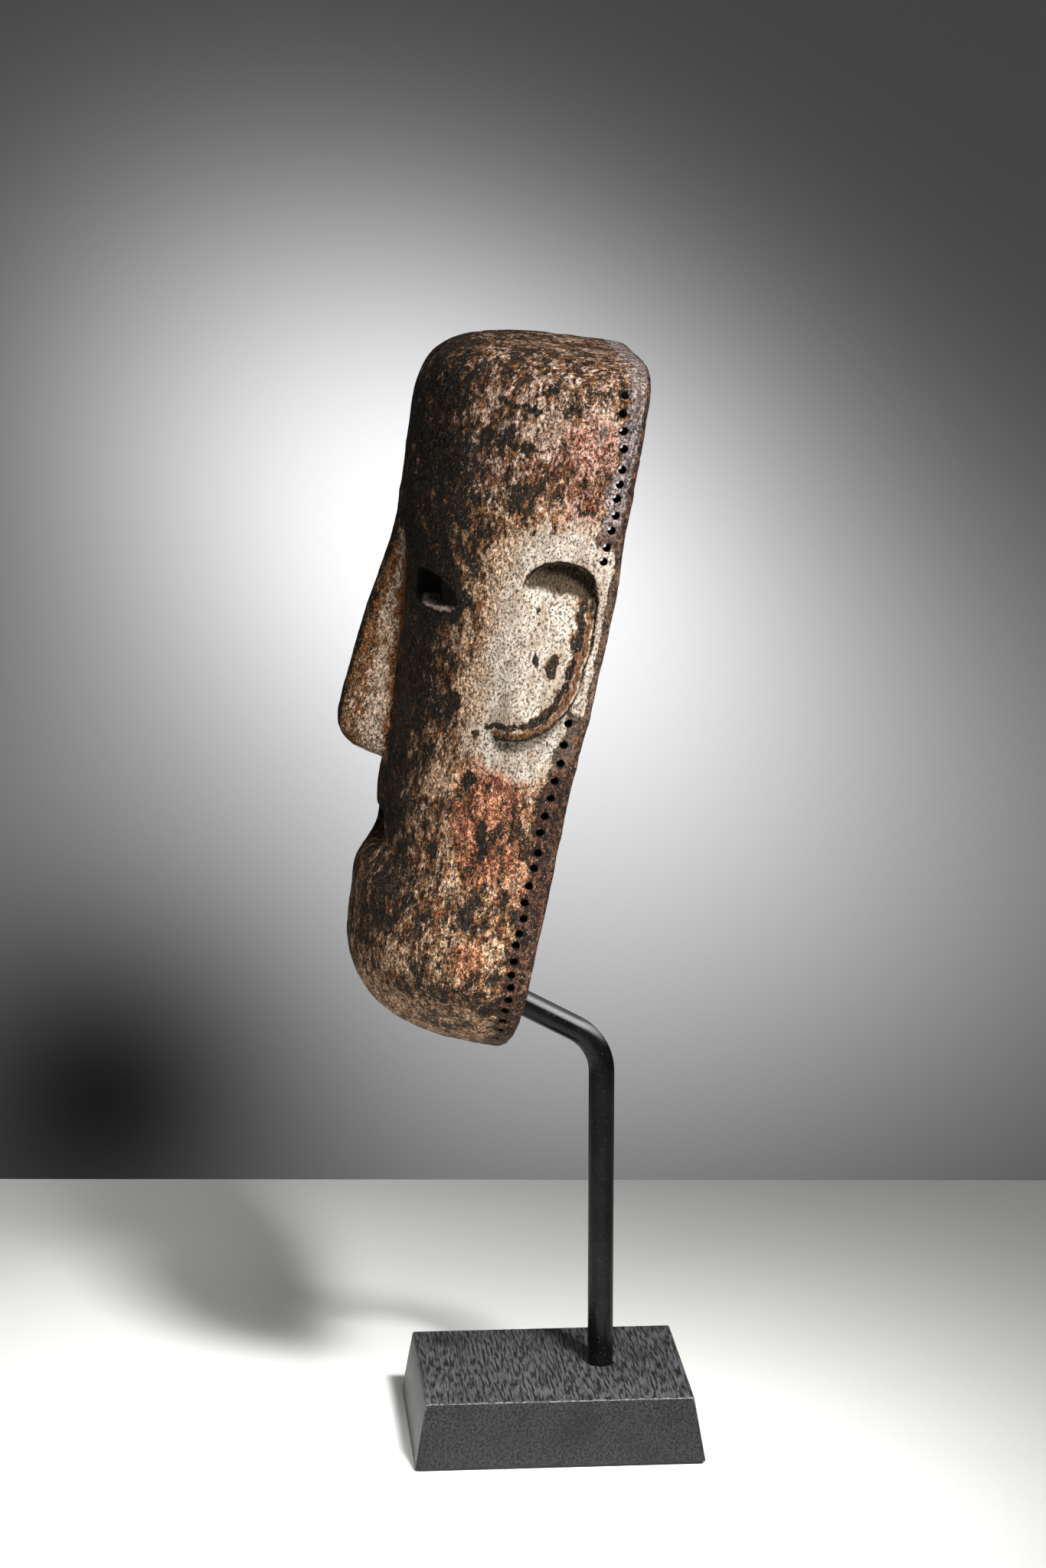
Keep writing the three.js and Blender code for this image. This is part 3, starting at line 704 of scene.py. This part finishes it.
def paint(places):
    """The tone and hue of the worn paint at each point, and its bare or dark places, from 0 to 1."""
    x, u, v = places.T
    points = local(x, u, v)
    wave_u, wave_v = [fractal(points, 7, seed, 4) * 2.2 for seed in (61, 71)]
    ripple_u, ripple_v = [fractal(points, 2.6, seed) for seed in (62, 72)]
    shift_u, shift_v = [(x < 0) * shift for shift in OTHER_SIDE]
    at = u + wave_u + shift_u, v + wave_v + shift_v
    small_u, small_v = u + wave_u * 0.2 + ripple_u * 0.6, v + wave_v * 0.3 + ripple_v * 1.2
    flank, flank_highlight, crease = nose_paint(x, u, v, wave_v, ripple_u)
    ridge, groove_shade, shade, recess = ear_paint(x, u, v, ripple_u)
    sill_highlight, eye_wall_shade, eye_bore_shade = eye_paint(x, u, v)
    # Painted light and shade on the nose: its flank and pale strip are lightened, and the crease beside it
    # darkened.
    thin = LEVEL.front * ramp(u, 54, 66) * ramp(v, 70, 100) + LEVEL.crease * crease
    level = LEVEL.base + patch_sum("level", *at) + thin * (1 - flank)
    level += LEVEL.flank * flank + LEVEL.pale * flank_highlight
    level += LEVEL.drift * fractal(points, 24, 81, 2)
    # Painted shade: a dark line along the crack.
    crack = hump(to_outline(u + ripple_u * 0.2, v, np.array(CRACK_PATH))[0], 0, 0.55) * (x > 0)
    # The soot layer takes the soot patches and also painted shade: the ear's dark lines and shade band, the
    # eye slot's sides and the line of the crack.
    soot_and_shade = patch_sum("soot_and_shade", small_u + shift_u, small_v + shift_v)
    rim = ramp(u + wave_u * 0.9 + ripple_v, 10.5, 7.5) * (1 - 0.9 * ramp(v, 116, 126) * ramp(v, 186, 178))
    return {
        "level": level,
        "red": patch_sum("red", *at),
        "cream": patch_sum("cream", *at) + 0.45 * flank_highlight,
        "film": 0.2 * flank + 0.22 * crease,
        "soot_and_shade": np.maximum.reduce([soot_and_shade, groove_shade * 0.9, shade * 0.7, eye_wall_shade, crack]),
        "ridge": ridge,
        "recess": recess,
        "rim": np.maximum(rim, ramp(u, 2.0, 0.8)),
        "upper": ramp(v, 184, 194) * ramp(u, 1.2, 2.2),
        # The bare wood layer also carries the painted highlight on the eye slot's lower lip.
        "bare": np.maximum(patch_sum("bare", small_u, small_v) * (x > 0), sill_highlight),
        "bore": eye_bore_shade,
    }


def add_layers(mesh, skin, hollow):
    """Stores the paint on the mesh, with the unpainted inside marked, and painted shade: holes and slots
    dark below the skin, and the inside darker towards the front and behind the eye.
    """
    places = vertex_places(mesh) * (1, -1, 1)
    layers = paint(places)
    x, u, v = places.T
    # Painted shade: the inside is darkened towards the front, and most where the far wall shows through the
    # eye slot.
    far_wall_shade = ramp(u, 38, 46) * ramp(np.abs(v - 140), 26, 18) * ramp(x, -10, -20)
    layers["inside"] = ramp(sample(*hollow, places), 1.5, 0)
    layers["deep"] = np.maximum(0.8 * ramp(u, 26, 46), far_wall_shade)
    # Painted shade: slots and holes turn black below the skin.
    bore = np.maximum(mix(*DARKENS, layers.pop("bore")), -sample(*skin, places))
    for name, values in layers.items():
        store_layer(mesh, name, np.clip(values, 0, 1))
    store_layer(mesh, "bore", bore)


def build_mask():
    pose = Matrix.Translation(Vector(FOOT) * MM) @ Matrix.Rotation(-LEAN, 4, "X")
    skin, hollow = mask_skin(), mask_hollow()
    points, faces = surface_net(*skin)
    points = worn(points, slope_at(*skin, points)[0])
    mask = mesh_object("carved_mask", local(*points.T), faces[:, ::-1].tolist())
    points, faces = surface_net(*hollow)
    gouges = fractal(points * (1, 1, 0.45), 9, 51, 2) * WEAR.gouges
    points = points + slope_at(*hollow, points)[0] * gouges[:, None]
    hollow_tool = mesh_object("hollow_tool", local(*points.T), faces[:, ::-1].tolist())
    cut(mask, hollow_tool, socket_tool(pose), lacing_tool(), crack_tool())
    add_layers(mask.data, skin, hollow)
    mask.data.transform(pose)
    mask.data.shade_smooth()
    mask.data.materials.append(mask_material())
    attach(mask, "root")
    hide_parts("mask")


class Nodes:
    """A tree of shader nodes, made by short calls that return sockets."""

    def __init__(self, tree):
        self.tree = tree

    def node(self, kind, feeds, **settings):
        """Adds a node with its settings and feeds its sockets, which go by name or number."""
        made = self.tree.nodes.new("ShaderNode" + kind)
        for key, value in settings.items():
            setattr(made, key, value)
        self.feed(made, feeds)
        return made

    def feed(self, node, feeds):
        for socket, value in feeds.items():
            if isinstance(value, bpy.types.NodeSocket):
                self.tree.links.new(value, node.inputs[socket])
            else:
                node.inputs[socket].default_value = value

    def maths(self, operation, *values):
        return self.node("Math", dict(enumerate(values)), operation=operation).outputs[0]

    plus = partialmethod(maths, "ADD")
    minus = partialmethod(maths, "SUBTRACT")
    times = partialmethod(maths, "MULTIPLY")
    over = partialmethod(maths, "DIVIDE")
    linear = partialmethod(maths, "MULTIPLY_ADD")


class Shader(Nodes):
    """A material whose noise is laid out in millimetres of its piece."""

    def __init__(self, name, foot=(0, 0, 0), lean=0.0):
        self.material = bpy.data.materials.new(name)
        self.material.use_nodes = True
        super().__init__(self.material.node_tree)
        feeds = {"Location": Vector(foot) * MM, "Rotation": (lean, 0, 0), "Scale": (MM, MM, MM)}
        feeds["Vector"] = self.node("TexCoord", {}).outputs["Object"]
        self.place = self.node("Mapping", feeds, vector_type="TEXTURE").outputs[0]

    def noise(self, size, detail=3, stretch=(1, 1, 1), rough=0.5, warp=0):
        """Noise with lumps about size millimetres across, centred on 0.5."""
        place = self.node("Mapping", {"Vector": self.place, "Scale": stretch}).outputs[0]
        feeds = {"Vector": place, "Scale": 1 / size, "Detail": detail, "Roughness": rough}
        return self.node("TexNoise", {**feeds, "Distortion": warp}).outputs["Fac"]

    def layer(self, name):
        return self.node("Attribute", {}, attribute_name=name).outputs["Fac"]

    def range(self, value, low, high, to_low=0.0, to_high=1.0):
        feeds = dict(enumerate((value, low, high, to_low, to_high)))
        return self.node("MapRange", feeds, interpolation_type="SMOOTHSTEP").outputs[0]

    def blend(self, share, *colours):
        first, second = [(*colour, 1) if isinstance(colour, tuple) else colour for colour in colours]
        feeds = {"Factor": share, 6: first, 7: second}
        return self.node("Mix", feeds, data_type="RGBA").outputs[2]

    def tone(self, value, low, high, ends):
        """The first of two end colours where the value is low, and the second where it is high."""
        return self.blend(self.range(value, low, high), *ends)

    def shade(self, colour, factor):
        feeds = {"Vector": colour, "Scale": factor}
        return self.node("VectorMath", feeds, operation="SCALE").outputs[0]

    def cover(self, amount, noise, edge):
        """Where a layer lies: nearly all over at amount 1, hardly at 0, in crisp blotches between."""
        return self.range(self.minus(noise, self.linear(amount, -0.44, 0.72)), -edge, edge)

    def bump(self, height, distance, strength=1.0, **under):
        feeds = {"Height": height, "Distance": distance * MM, "Strength": strength, **under}
        return self.node("Bump", feeds).outputs[0]

    def finish(self, colour, roughness, normal, **plain):
        feeds = {"Base Color": colour, "Roughness": roughness, "Normal": normal}
        feeds.update({name.replace("_", " "): value for name, value in plain.items()})
        self.feed(self.tree.nodes["Principled BSDF"], feeds)
        return self.material


# Colours as linear light. A pair is the darker and the lighter end of one tone.
TONES = Named(
    dark=((0.004, 0.0034, 0.003), (0.06, 0.043, 0.027)),
    sooty=(0.022, 0.021, 0.0205),
    ochre=((0.13, 0.058, 0.023), (0.46, 0.235, 0.095)),
    burnt=(0.27, 0.1, 0.036),
    beige=((0.4, 0.22, 0.11), (0.8, 0.57, 0.39)),
    rosy=((0.35, 0.26, 0.23), (0.74, 0.56, 0.5)),
    salmon=((0.46, 0.16, 0.072), (0.86, 0.44, 0.25)),
    cream=((0.43, 0.345, 0.26), (0.66, 0.58, 0.49)),
    cream_streak=(0.42, 0.29, 0.185),
    red=((0.13, 0.032, 0.017), (0.5, 0.155, 0.08)),
    low_rim=((0.019, 0.016, 0.015), (0.165, 0.075, 0.044)),
    high_rim=((0.23, 0.18, 0.165), (0.6, 0.48, 0.45)),
    ridge=((0.045, 0.022, 0.012), (0.27, 0.13, 0.055)),
    # Scraped wood, also used for the painted highlight on the eye slot's lower lip.
    bare=((0.1, 0.068, 0.055), (0.44, 0.34, 0.3)),
    # Painted shadow under the ear's arch.
    recess=((0.02, 0.014, 0.007), (0.09, 0.059, 0.029)),
    pit=(0.018, 0.014, 0.012),
    check=(0.014, 0.01, 0.008),
    glint=(0.62, 0.56, 0.48),
    # Painted shade inside slots and holes.
    bore=(0.008, 0.006, 0.005),
    inside=((0.03, 0.02, 0.014), (0.125, 0.08, 0.05)),
    # Painted shade deep in the hollow.
    deep=(0.0025, 0.002, 0.0018),
    steel=((0.0025, 0.0025, 0.0028), (0.0055, 0.0055, 0.006)),
    dust=(0.16, 0.15, 0.14),
    dusted_steel=((0.13, 0.132, 0.136), (0.32, 0.324, 0.33)),
    block=((0.011, 0.011, 0.0115), (0.098, 0.098, 0.101)),
    block_cloud=(0.012, 0.012, 0.0125),
    block_side=(0.0035, 0.0035, 0.0035),
    block_edge=(0.12, 0.118, 0.115),
    felt=((0.01, 0.01, 0.01), (0.05, 0.048, 0.045)),
)


def crust_colour(s):
    """The dark ground with its ochre film, and the pale and red flakes that are left on it."""
    streaks, dots, tint = s.streaks, s.dots, s.tint
    # Soot and painted shade darken the crust.
    level = s.linear(s.layer("soot_and_shade"), -0.9, s.layer("level"))
    level = s.plus(level, s.linear(s.drift, 0.9, -0.45))
    level = s.plus(level, s.linear(s.noise(4.2, 5, GRAIN, 0.65, 0.5), 1.1, -0.55))
    ruddy = s.layer("red")

    dark = s.blend(s.range(tint, 0.52, 0.64), s.tone(streaks, 0.4, 0.62, TONES.dark), TONES.sooty)
    ochre = s.blend(s.range(tint, 0.43, 0.55), TONES.burnt, s.tone(dots, 0.35, 0.65, TONES.ochre))
    film = s.plus(s.linear(level, 0.95, -0.02), s.layer("film"))
    film = s.cover(film, s.noise(2.4, 8, GRAIN, 0.77), 0.02)
    colour = s.blend(film, dark, ochre)

    beige = s.tone(streaks, 0.38, 0.62, TONES.beige)
    salmon = s.cover(s.times(ruddy, 0.9), s.noise(3.2, 6, (1, 1, 0.7), 0.7), 0.05)
    beige = s.blend(salmon, beige, s.tone(dots, 0.38, 0.62, TONES.salmon))
    beige = s.blend(s.times(s.high, 0.45), beige, s.blend(streaks, *TONES.rosy))
    cream = s.tone(tint, 0.4, 0.58, TONES.cream)
    cream = s.blend(s.range(streaks, 0.47, 0.36), cream, TONES.cream_streak)
    flakes = s.cover(s.linear(level, 1.35, -0.34), s.noise(2.2, 8, GRAIN, 0.77), 0.02)
    colour = s.blend(flakes, colour, s.blend(s.pale, beige, cream))

    red = s.cover(s.times(ruddy, 0.46), s.noise(2.0, 8, (1, 1, 0.75), 0.78), 0.02)
    red = s.times(red, s.range(level, 0.1, 0.4))
    return s.blend(red, colour, s.tone(dots, 0.38, 0.62, TONES.red)), film, flakes


def place_colour(s, colour):
    """The worn rim, the pits, the ear's ridge, scraped wood with the painted highlight on the eye slot's
    lip, and the painted shadow at the top of the ear.
    """
    streaks = s.streaks
    rim = s.cover(s.layer("rim"), s.noise(2.8, 6, (1, 1, 0.5), 0.7), 0.03)
    low_rim = s.tone(s.noise(2.4, 6, GRAIN, 0.75), 0.44, 0.58, TONES.low_rim)
    high_rim = s.tone(s.tint, 0.38, 0.62, TONES.high_rim)
    colour = s.blend(s.times(rim, 0.9), colour, s.blend(s.high, low_rim, high_rim))
    pits = s.cover(s.linear(s.pale, -0.04, 0.42), s.noise(0.9, 5, (1, 1, 0.8), 0.8), 0.03)
    colour = s.blend(s.times(pits, 0.9), colour, TONES.pit)
    colour = s.blend(s.range(s.layer("ridge"), 0.4, 0.75), colour, s.tone(streaks, 0.4, 0.6, TONES.ridge))
    # Scraped bare wood, and the painted highlight on the eye slot's lower lip.
    colour = s.blend(s.range(s.layer("bare"), 0.3, 0.6), colour, s.tone(streaks, 0.35, 0.65, TONES.bare))
    # Painted shadow at the top of the ear's plate, under its arch.
    recess = s.times(s.layer("recess"), 0.95)
    return s.blend(recess, colour, s.tone(streaks, 0.35, 0.65, TONES.recess)), pits


def mark_colour(s, colour):
    """Fine dark checks in the crust, its grit, and sparse pale flecks that are partly painted highlights."""
    long_checks = s.maths("ABSOLUTE", s.minus(s.noise(9, 5, GRAIN, 0.6, 0.6), 0.5))
    short_checks = s.maths("ABSOLUTE", s.minus(s.noise(3.6, 4, GRAIN, 0.6, 0.8), 0.5))
    checks = s.times(s.range(long_checks, 0.012, 0.004), s.range(s.drift, 0.42, 0.5))
    finer = s.times(s.range(short_checks, 0.022, 0.008), s.range(s.tint, 0.44, 0.54))
    checks = s.times(s.maths("MAXIMUM", checks, finer), s.linear(s.pale, -0.7, 0.85))
    colour = s.blend(checks, colour, TONES.check)
    grit = s.range(s.noise(1.4, 4, (1, 1, 0.75), 0.75), 0.4, 0.6, -1.0, 1)
    colour = s.shade(colour, s.linear(grit, s.linear(s.pale, -0.4, 0.48), 1.06))
    # Pale flecks, partly real flecks of paint and partly painted highlights.
    glint = s.range(s.noise(0.8, 3), 0.655, 0.69)
    return s.blend(s.times(glint, 0.6), colour, TONES.glint)


def mask_material():
    s = Shader("painted_wood", FOOT, -LEAN)
    # Noises and layers that several parts of the paint share.
    s.streaks, s.dots = s.noise(0.9, 5, (1, 1, 0.45), 0.7), s.noise(0.45, 3)
    s.tint, s.drift = s.noise(6, 6, GRAIN, 0.7), s.noise(11, 4, (1, 1, 0.7), 0.6)
    s.pale, s.high = s.layer("cream"), s.layer("upper")
    colour, film, flakes = crust_colour(s)
    colour, pits = place_colour(s, colour)
    colour = mark_colour(s, colour)
    # Painted shade: slots and holes are painted black below the skin.
    colour = s.blend(s.range(s.layer("bore"), *DARKENS), colour, TONES.bore)
    inside = s.tone(s.streaks, 0.35, 0.65, TONES.inside)
    # Painted shade: the inside nearly black towards the front and behind the eye.
    inside = s.blend(s.times(s.layer("deep"), 0.98), inside, TONES.deep)
    colour = s.blend(s.range(s.layer("inside"), 0.3, 0.8), colour, inside)
    crust = s.plus(s.times(film, 0.4), s.times(flakes, 0.6))
    normal = s.bump(s.minus(crust, s.times(pits, 0.6)), 0.3)
    normal = s.bump(s.plus(s.streaks, s.times(s.dots, 0.6)), 0.4, 0.9, Normal=normal)
    return s.finish(colour, s.linear(crust, 0.35, 0.5), normal, Specular_IOR_Level=0.09)


def steel_material():
    s = Shader("black_steel")
    cloud = s.noise(14, 3)
    brushed = s.noise(0.35, 2, (1, 1, 0.04))
    colour = s.tone(cloud, 0.35, 0.65, TONES.steel)
    colour = s.blend(s.range(s.noise(0.5, 2), 0.69, 0.74), colour, TONES.dust)
    # Painted highlight on the upper side of the bend and the upper leg.
    colour = s.blend(s.layer("upward"), colour, s.blend(brushed, *TONES.dusted_steel))
    normal = s.bump(s.plus(brushed, s.noise(3, 2)), 0.02, 0.6)
    return s.finish(colour, s.linear(cloud, 0.1, 0.13), normal, Specular_IOR_Level=0.15)


def block_material():
    s = Shader("black_stained_wood")
    grain = s.noise(0.9, 4, (0.1, 1, 1), 0.65)
    sanding = s.noise(0.6, 4, (1, 0.35, 0.6), 0.6)
    colour = s.tone(grain, 0.4, 0.6, TONES.block)
    colour = s.blend(s.range(s.noise(22, 3), 0.45, 0.75, 0.0, 0.5), colour, TONES.block_cloud)
    # Painted shade: the sides are painted darker than the top.
    colour = s.blend(s.layer("top"), s.blend(0.7, colour, TONES.block_side), colour)
    worn_edge = s.times(s.range(s.layer("edge"), 0.5, 0.95), s.range(sanding, 0.46, 0.54))
    colour = s.blend(worn_edge, colour, TONES.block_edge)
    normal = s.bump(s.plus(grain, s.times(sanding, 0.5)), 0.05, 0.8)
    return s.finish(colour, s.linear(grain, 0.3, 0.26), normal, Specular_IOR_Level=0.3)


def felt_material():
    s = Shader("black_felt")
    fibre = s.noise(0.25, 3)
    colour = s.blend(fibre, *TONES.felt)
    return s.finish(colour, s.linear(fibre, 0.1, 0.88), s.bump(fibre, 0.15), Sheen_Weight=0.3)


# Number of rings in each stretch of the rod and of points in a ring, and how much its ends round off.
ROD_MESH = Named(foot=24, bend=25, leg=14, sides=64, soften=1)
# A painted highlight lies on the rod over these shares of the bend, where its surface looks up within these
# slopes.
ROD_SHEEN = Named(bend=(0.35, 0.95), slope=(0.34, 0.54), thins=(0.64, 0.78), thin=0.8)


def build_rod():
    """The rod swept round, finer than the CAD solid and with softer ends."""
    foot_rings, bend_rings, leg_rings, sides, soften = vars(ROD_MESH).values()
    turn = math.pi / 2 - math.radians(ROD.rise)
    trim = ROD.bend_radius * math.tan(turn / 2)
    radius = ROD.diameter / 2
    foot = BLOCK.top - ROD_SUNK + FIT
    corner, forward = rod_directions()
    bend_start = ROD.corner_height - trim
    rings = [(ROD.behind, foot, 0, radius - soften), (ROD.behind, foot + soften, 0, radius)]
    rings += [(ROD.behind, v, 0, radius) for v in np.linspace(foot + 8, bend_start - 4, foot_rings)]
    for lean in np.linspace(0, turn, bend_rings):
        back = ROD.bend_radius * (1 - math.cos(lean))
        rings.append((ROD.behind - back, bend_start + ROD.bend_radius * math.sin(lean), lean, radius))
    for reach in np.linspace(trim + 3, ROD.reach - soften, leg_rings):
        rings.append((*(corner + forward * reach)[1:], turn, radius))
    rings.append((*(corner + forward * ROD.reach)[1:], turn, radius - soften))
    points = []
    for back, height, lean, size in rings:
        points += [*ring((0, back, height), (1, 0, 0), (0, math.cos(lean), math.sin(lean)), size, sides)]
    rod = mesh_object("rod", points, bar_faces(0, len(rings), sides))
    rod.data.shade_smooth()
    upward = np.array([vertex.normal.z for vertex in rod.data.vertices])
    bent = np.repeat([lean / turn for _, _, lean, _ in rings], sides)
    # Painted highlight: where the bend and the upper leg look up, the rod is painted light.
    painted_sheen = ramp(upward, *ROD_SHEEN.slope) * (1 - ROD_SHEEN.thin * ramp(upward, *ROD_SHEEN.thins))
    store_layer(rod.data, "upward", painted_sheen * ramp(bent, *ROD_SHEEN.bend))
    rod.data.materials.append(steel_material())
    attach(rod, "root")
    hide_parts("stand_rod")


def box_object(name, bottom, top):
    """A solid with six faces from the four corners of its bottom and the four of its top."""
    faces = [(3, 2, 1, 0), (4, 5, 6, 7)]
    faces += [(k, (k + 1) % 4, 4 + (k + 1) % 4, 4 + k) for k in range(4)]
    return mesh_object(name, [*bottom, *top], faces)


def mark_worn_edges(block):
    """Marks the top, and the rounded edges round it, where no point lies in the top or in a side."""
    touching = 0.02
    x, y, z = np.abs(vertex_places(block.data).T)
    inset = BLOCK.inset * (z - BLOCK.bottom) / (BLOCK.top - BLOCK.bottom)
    to_sides = [BLOCK.width / 2 - inset - x, BLOCK.depth / 2 - inset - y]
    below = BLOCK.top - z
    edge = (below < 2 * BLOCK.arris) & (np.abs([below, *to_sides]).min(axis=0) > touching)
    store_layer(block.data, "edge", edge)
    # The top mark lets the material paint the sides darker, a painted shade.
    store_layer(block.data, "top", below < touching)


def build_block():
    """The block with softly rounded edges and the hole that the rod stands in."""
    low = np.array([BLOCK.width / 2, BLOCK.depth / 2, BLOCK.bottom])
    high = np.array([low[0] - BLOCK.inset, low[1] - BLOCK.inset, BLOCK.top])
    corners = np.array([(1, 1, 1), (-1, 1, 1), (-1, -1, 1), (1, -1, 1)])
    block = box_object("block", corners * low, corners * high)
    bevel = block.modifiers.new("arris", "BEVEL")
    bevel.width = BLOCK.arris * MM
    bevel.segments = 5
    bottom = np.array([0, ROD.behind, BLOCK.top - ROD_SUNK])
    above = bottom + (0, 0, 2 * ROD_SUNK)
    cut(block, cylinders("bore_tool", [(bottom, above)], ROD.diameter / 2 + FIT, ROD_MESH.sides))
    block.data.shade_smooth()
    block.data.set_sharp_from_angle(angle=math.radians(35))
    mark_worn_edges(block)
    block.data.materials.append(block_material())
    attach(block, "root")
    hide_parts("stand_block")


# Camera, solved from the edges of the block and the rod.
CAMERA_PLACE = (1631.0, -144.8, 599.3)
CAMERA_YAW = math.radians(4.685)
CAMERA_PITCH = math.radians(11.719)
CAMERA_ROLL = math.radians(0.066)

# Table top: its far edge, how far it reaches nearer and to each side, and its thickness.
TABLE = Named(far=-334, near=2600, half=2600, thick=30)

# The pool of light on the backdrop and the shade beside it, as slopes from the middle of the view.
POOL = Named(middle=(0.0033, -0.061), spread=(0.0514, 0.044), slant=0.341, light=0.925)
GLOW = Named(middle=(0.0031, 0.0177), spread=(0.0836, 0.0513), slant=0, light=0.432)
SHADE = Named(middle=(-0.0962, 0.0715), spread=(0.0382, 0.0366), slant=0, depth=0.937)
BACKDROP_REST = 0.0556
# Away from the backdrop the surroundings are plain: from this share ahead, and by this much a share.
AWAY = Named(start=0.9, by=2.0, light=0.05, more_if_seen=0.3)

# Lights: place, aim, size, power and spread in degrees.
LIGHTS = {
    "key_light": ((1.08, 0.4, 1.3), (0.06, -0.07, 0.0), 0.25, 1.05, 21.8),
    "mask_light": ((1.25, 0.95, 1.15), (0.06, -0.03, 0.47), 0.3, 0.44, 14),
    "overhead_light": ((0.85, 0.05, 1.6), (0.34, -0.05, 0), 0.9, 3.2, 66),
    "camera_fill": ((1.7, -0.5, 1), (0, 0, 0.25), 0.8, 0.12, 180),
}


def camera_axes():
    ahead = Vector((
        -math.cos(CAMERA_YAW) * math.cos(CAMERA_PITCH),
        math.sin(CAMERA_YAW) * math.cos(CAMERA_PITCH),
        -math.sin(CAMERA_PITCH),
    ))
    right = ahead.cross((0, 0, 1)).normalized()
    return ahead, right, right.cross(ahead)


def build_camera():
    data = bpy.data.cameras.new("camera")
    data.lens = 100
    data.sensor_width = 36
    data.sensor_fit = "AUTO"
    camera = scene_object("camera", data)
    turn = camera_axes()[0].to_track_quat("-Z", "Y").to_matrix().to_4x4()
    turn = turn @ Matrix.Rotation(CAMERA_ROLL, 4, "Z")
    camera.matrix_world = Matrix.Translation(Vector(CAMERA_PLACE) * MM) @ turn
    bpy.context.scene.camera = camera


def table_material():
    s = Shader("pale_table")
    soft = s.noise(60, 2)
    pale = (0.845, 0.84, 0.815)
    colour = s.blend(soft, tuple(0.97 * part for part in pale), pale)
    return s.finish(colour, s.linear(soft, 0.05, 0.55), s.bump(s.noise(1.5, 2), 0.02, 0.3))


def build_table():
    """A wide pale table top whose far edge shows behind the block."""
    far, near, half, thick = vars(TABLE).values()
    corners = np.array([(far, -half, 0), (near, -half, 0), (near, half, 0), (far, half, 0)])
    table = box_object("table_top", corners - (0, 0, thick), corners)
    table.data.transform(Matrix.Rotation(-CAMERA_YAW, 4, "Z"))
    table.data.materials.append(table_material())


def backdrop_tone(n, across, down):
    """Brightness by place on the backdrop: a slanting pool of light and a soft shadow low on the left."""
    def falloff(spot):
        right = n.minus(n.minus(across, spot.middle[0]), n.times(down, spot.slant))
        right = n.over(right, spot.spread[0])
        low = n.over(n.minus(down, spot.middle[1]), spot.spread[1])
        square = n.plus(n.times(right, right), n.times(low, low))
        return n.maths("EXPONENT", n.times(square, -0.5))

    pool = n.times(falloff(POOL), POOL.light)
    glow = n.times(falloff(GLOW), GLOW.light)
    shade = n.linear(falloff(SHADE), -SHADE.depth, 1)
    return n.times(n.plus(n.plus(pool, glow), BACKDROP_REST), shade)


def build_backdrop():
    """Grey studio surroundings, which the camera sees brighter than they light the object."""
    world = bpy.data.worlds.new("studio")
    world.use_nodes = True
    n = Nodes(world.node_tree)
    toward = n.node("TexCoord", {}).outputs["Generated"]
    ahead, right, up = camera_axes()
    parts = [
        n.node("VectorMath", {0: toward, 1: axis}, operation="DOT_PRODUCT").outputs["Value"]
        for axis in (ahead, right, -up)
    ]
    depth = n.maths("MAXIMUM", parts[0], 0.05)
    tone = backdrop_tone(n, *[n.over(part, depth) for part in parts[1:]])
    away = n.times(n.minus(AWAY.start, parts[0]), AWAY.by)
    away = n.maths("MINIMUM", n.maths("MAXIMUM", away, 0.0), 1.0)
    seen = n.node("LightPath", {}).outputs["Is Camera Ray"]
    elsewhere = n.linear(seen, AWAY.more_if_seen, AWAY.light)
    strength = n.plus(tone, n.times(n.minus(elsewhere, tone), away))
    n.feed(n.tree.nodes["Background"], {"Strength": strength, "Color": (1, 1, 1.015, 1)})
    bpy.context.scene.world = world


def build_lights():
    for name, (place, aim, size, power, spread) in LIGHTS.items():
        data = bpy.data.lights.new(name, "AREA")
        data.shape = "SQUARE"
        data.size = size
        data.energy = power
        data.spread = math.radians(spread)
        light = scene_object(name, data)
        light.location = place
        light.rotation_mode = "QUATERNION"
        light.rotation_quaternion = (Vector(aim) - Vector(place)).to_track_quat("-Z", "Y")


build_mask()
build_rod()
build_block()
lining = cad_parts["block_lining"]
lining.data.materials.clear()
lining.data.materials.append(felt_material())
build_table()
build_backdrop()
build_lights()
build_camera()

bpy.context.scene.view_settings.view_transform = "Standard"
bpy.context.view_layer.update()
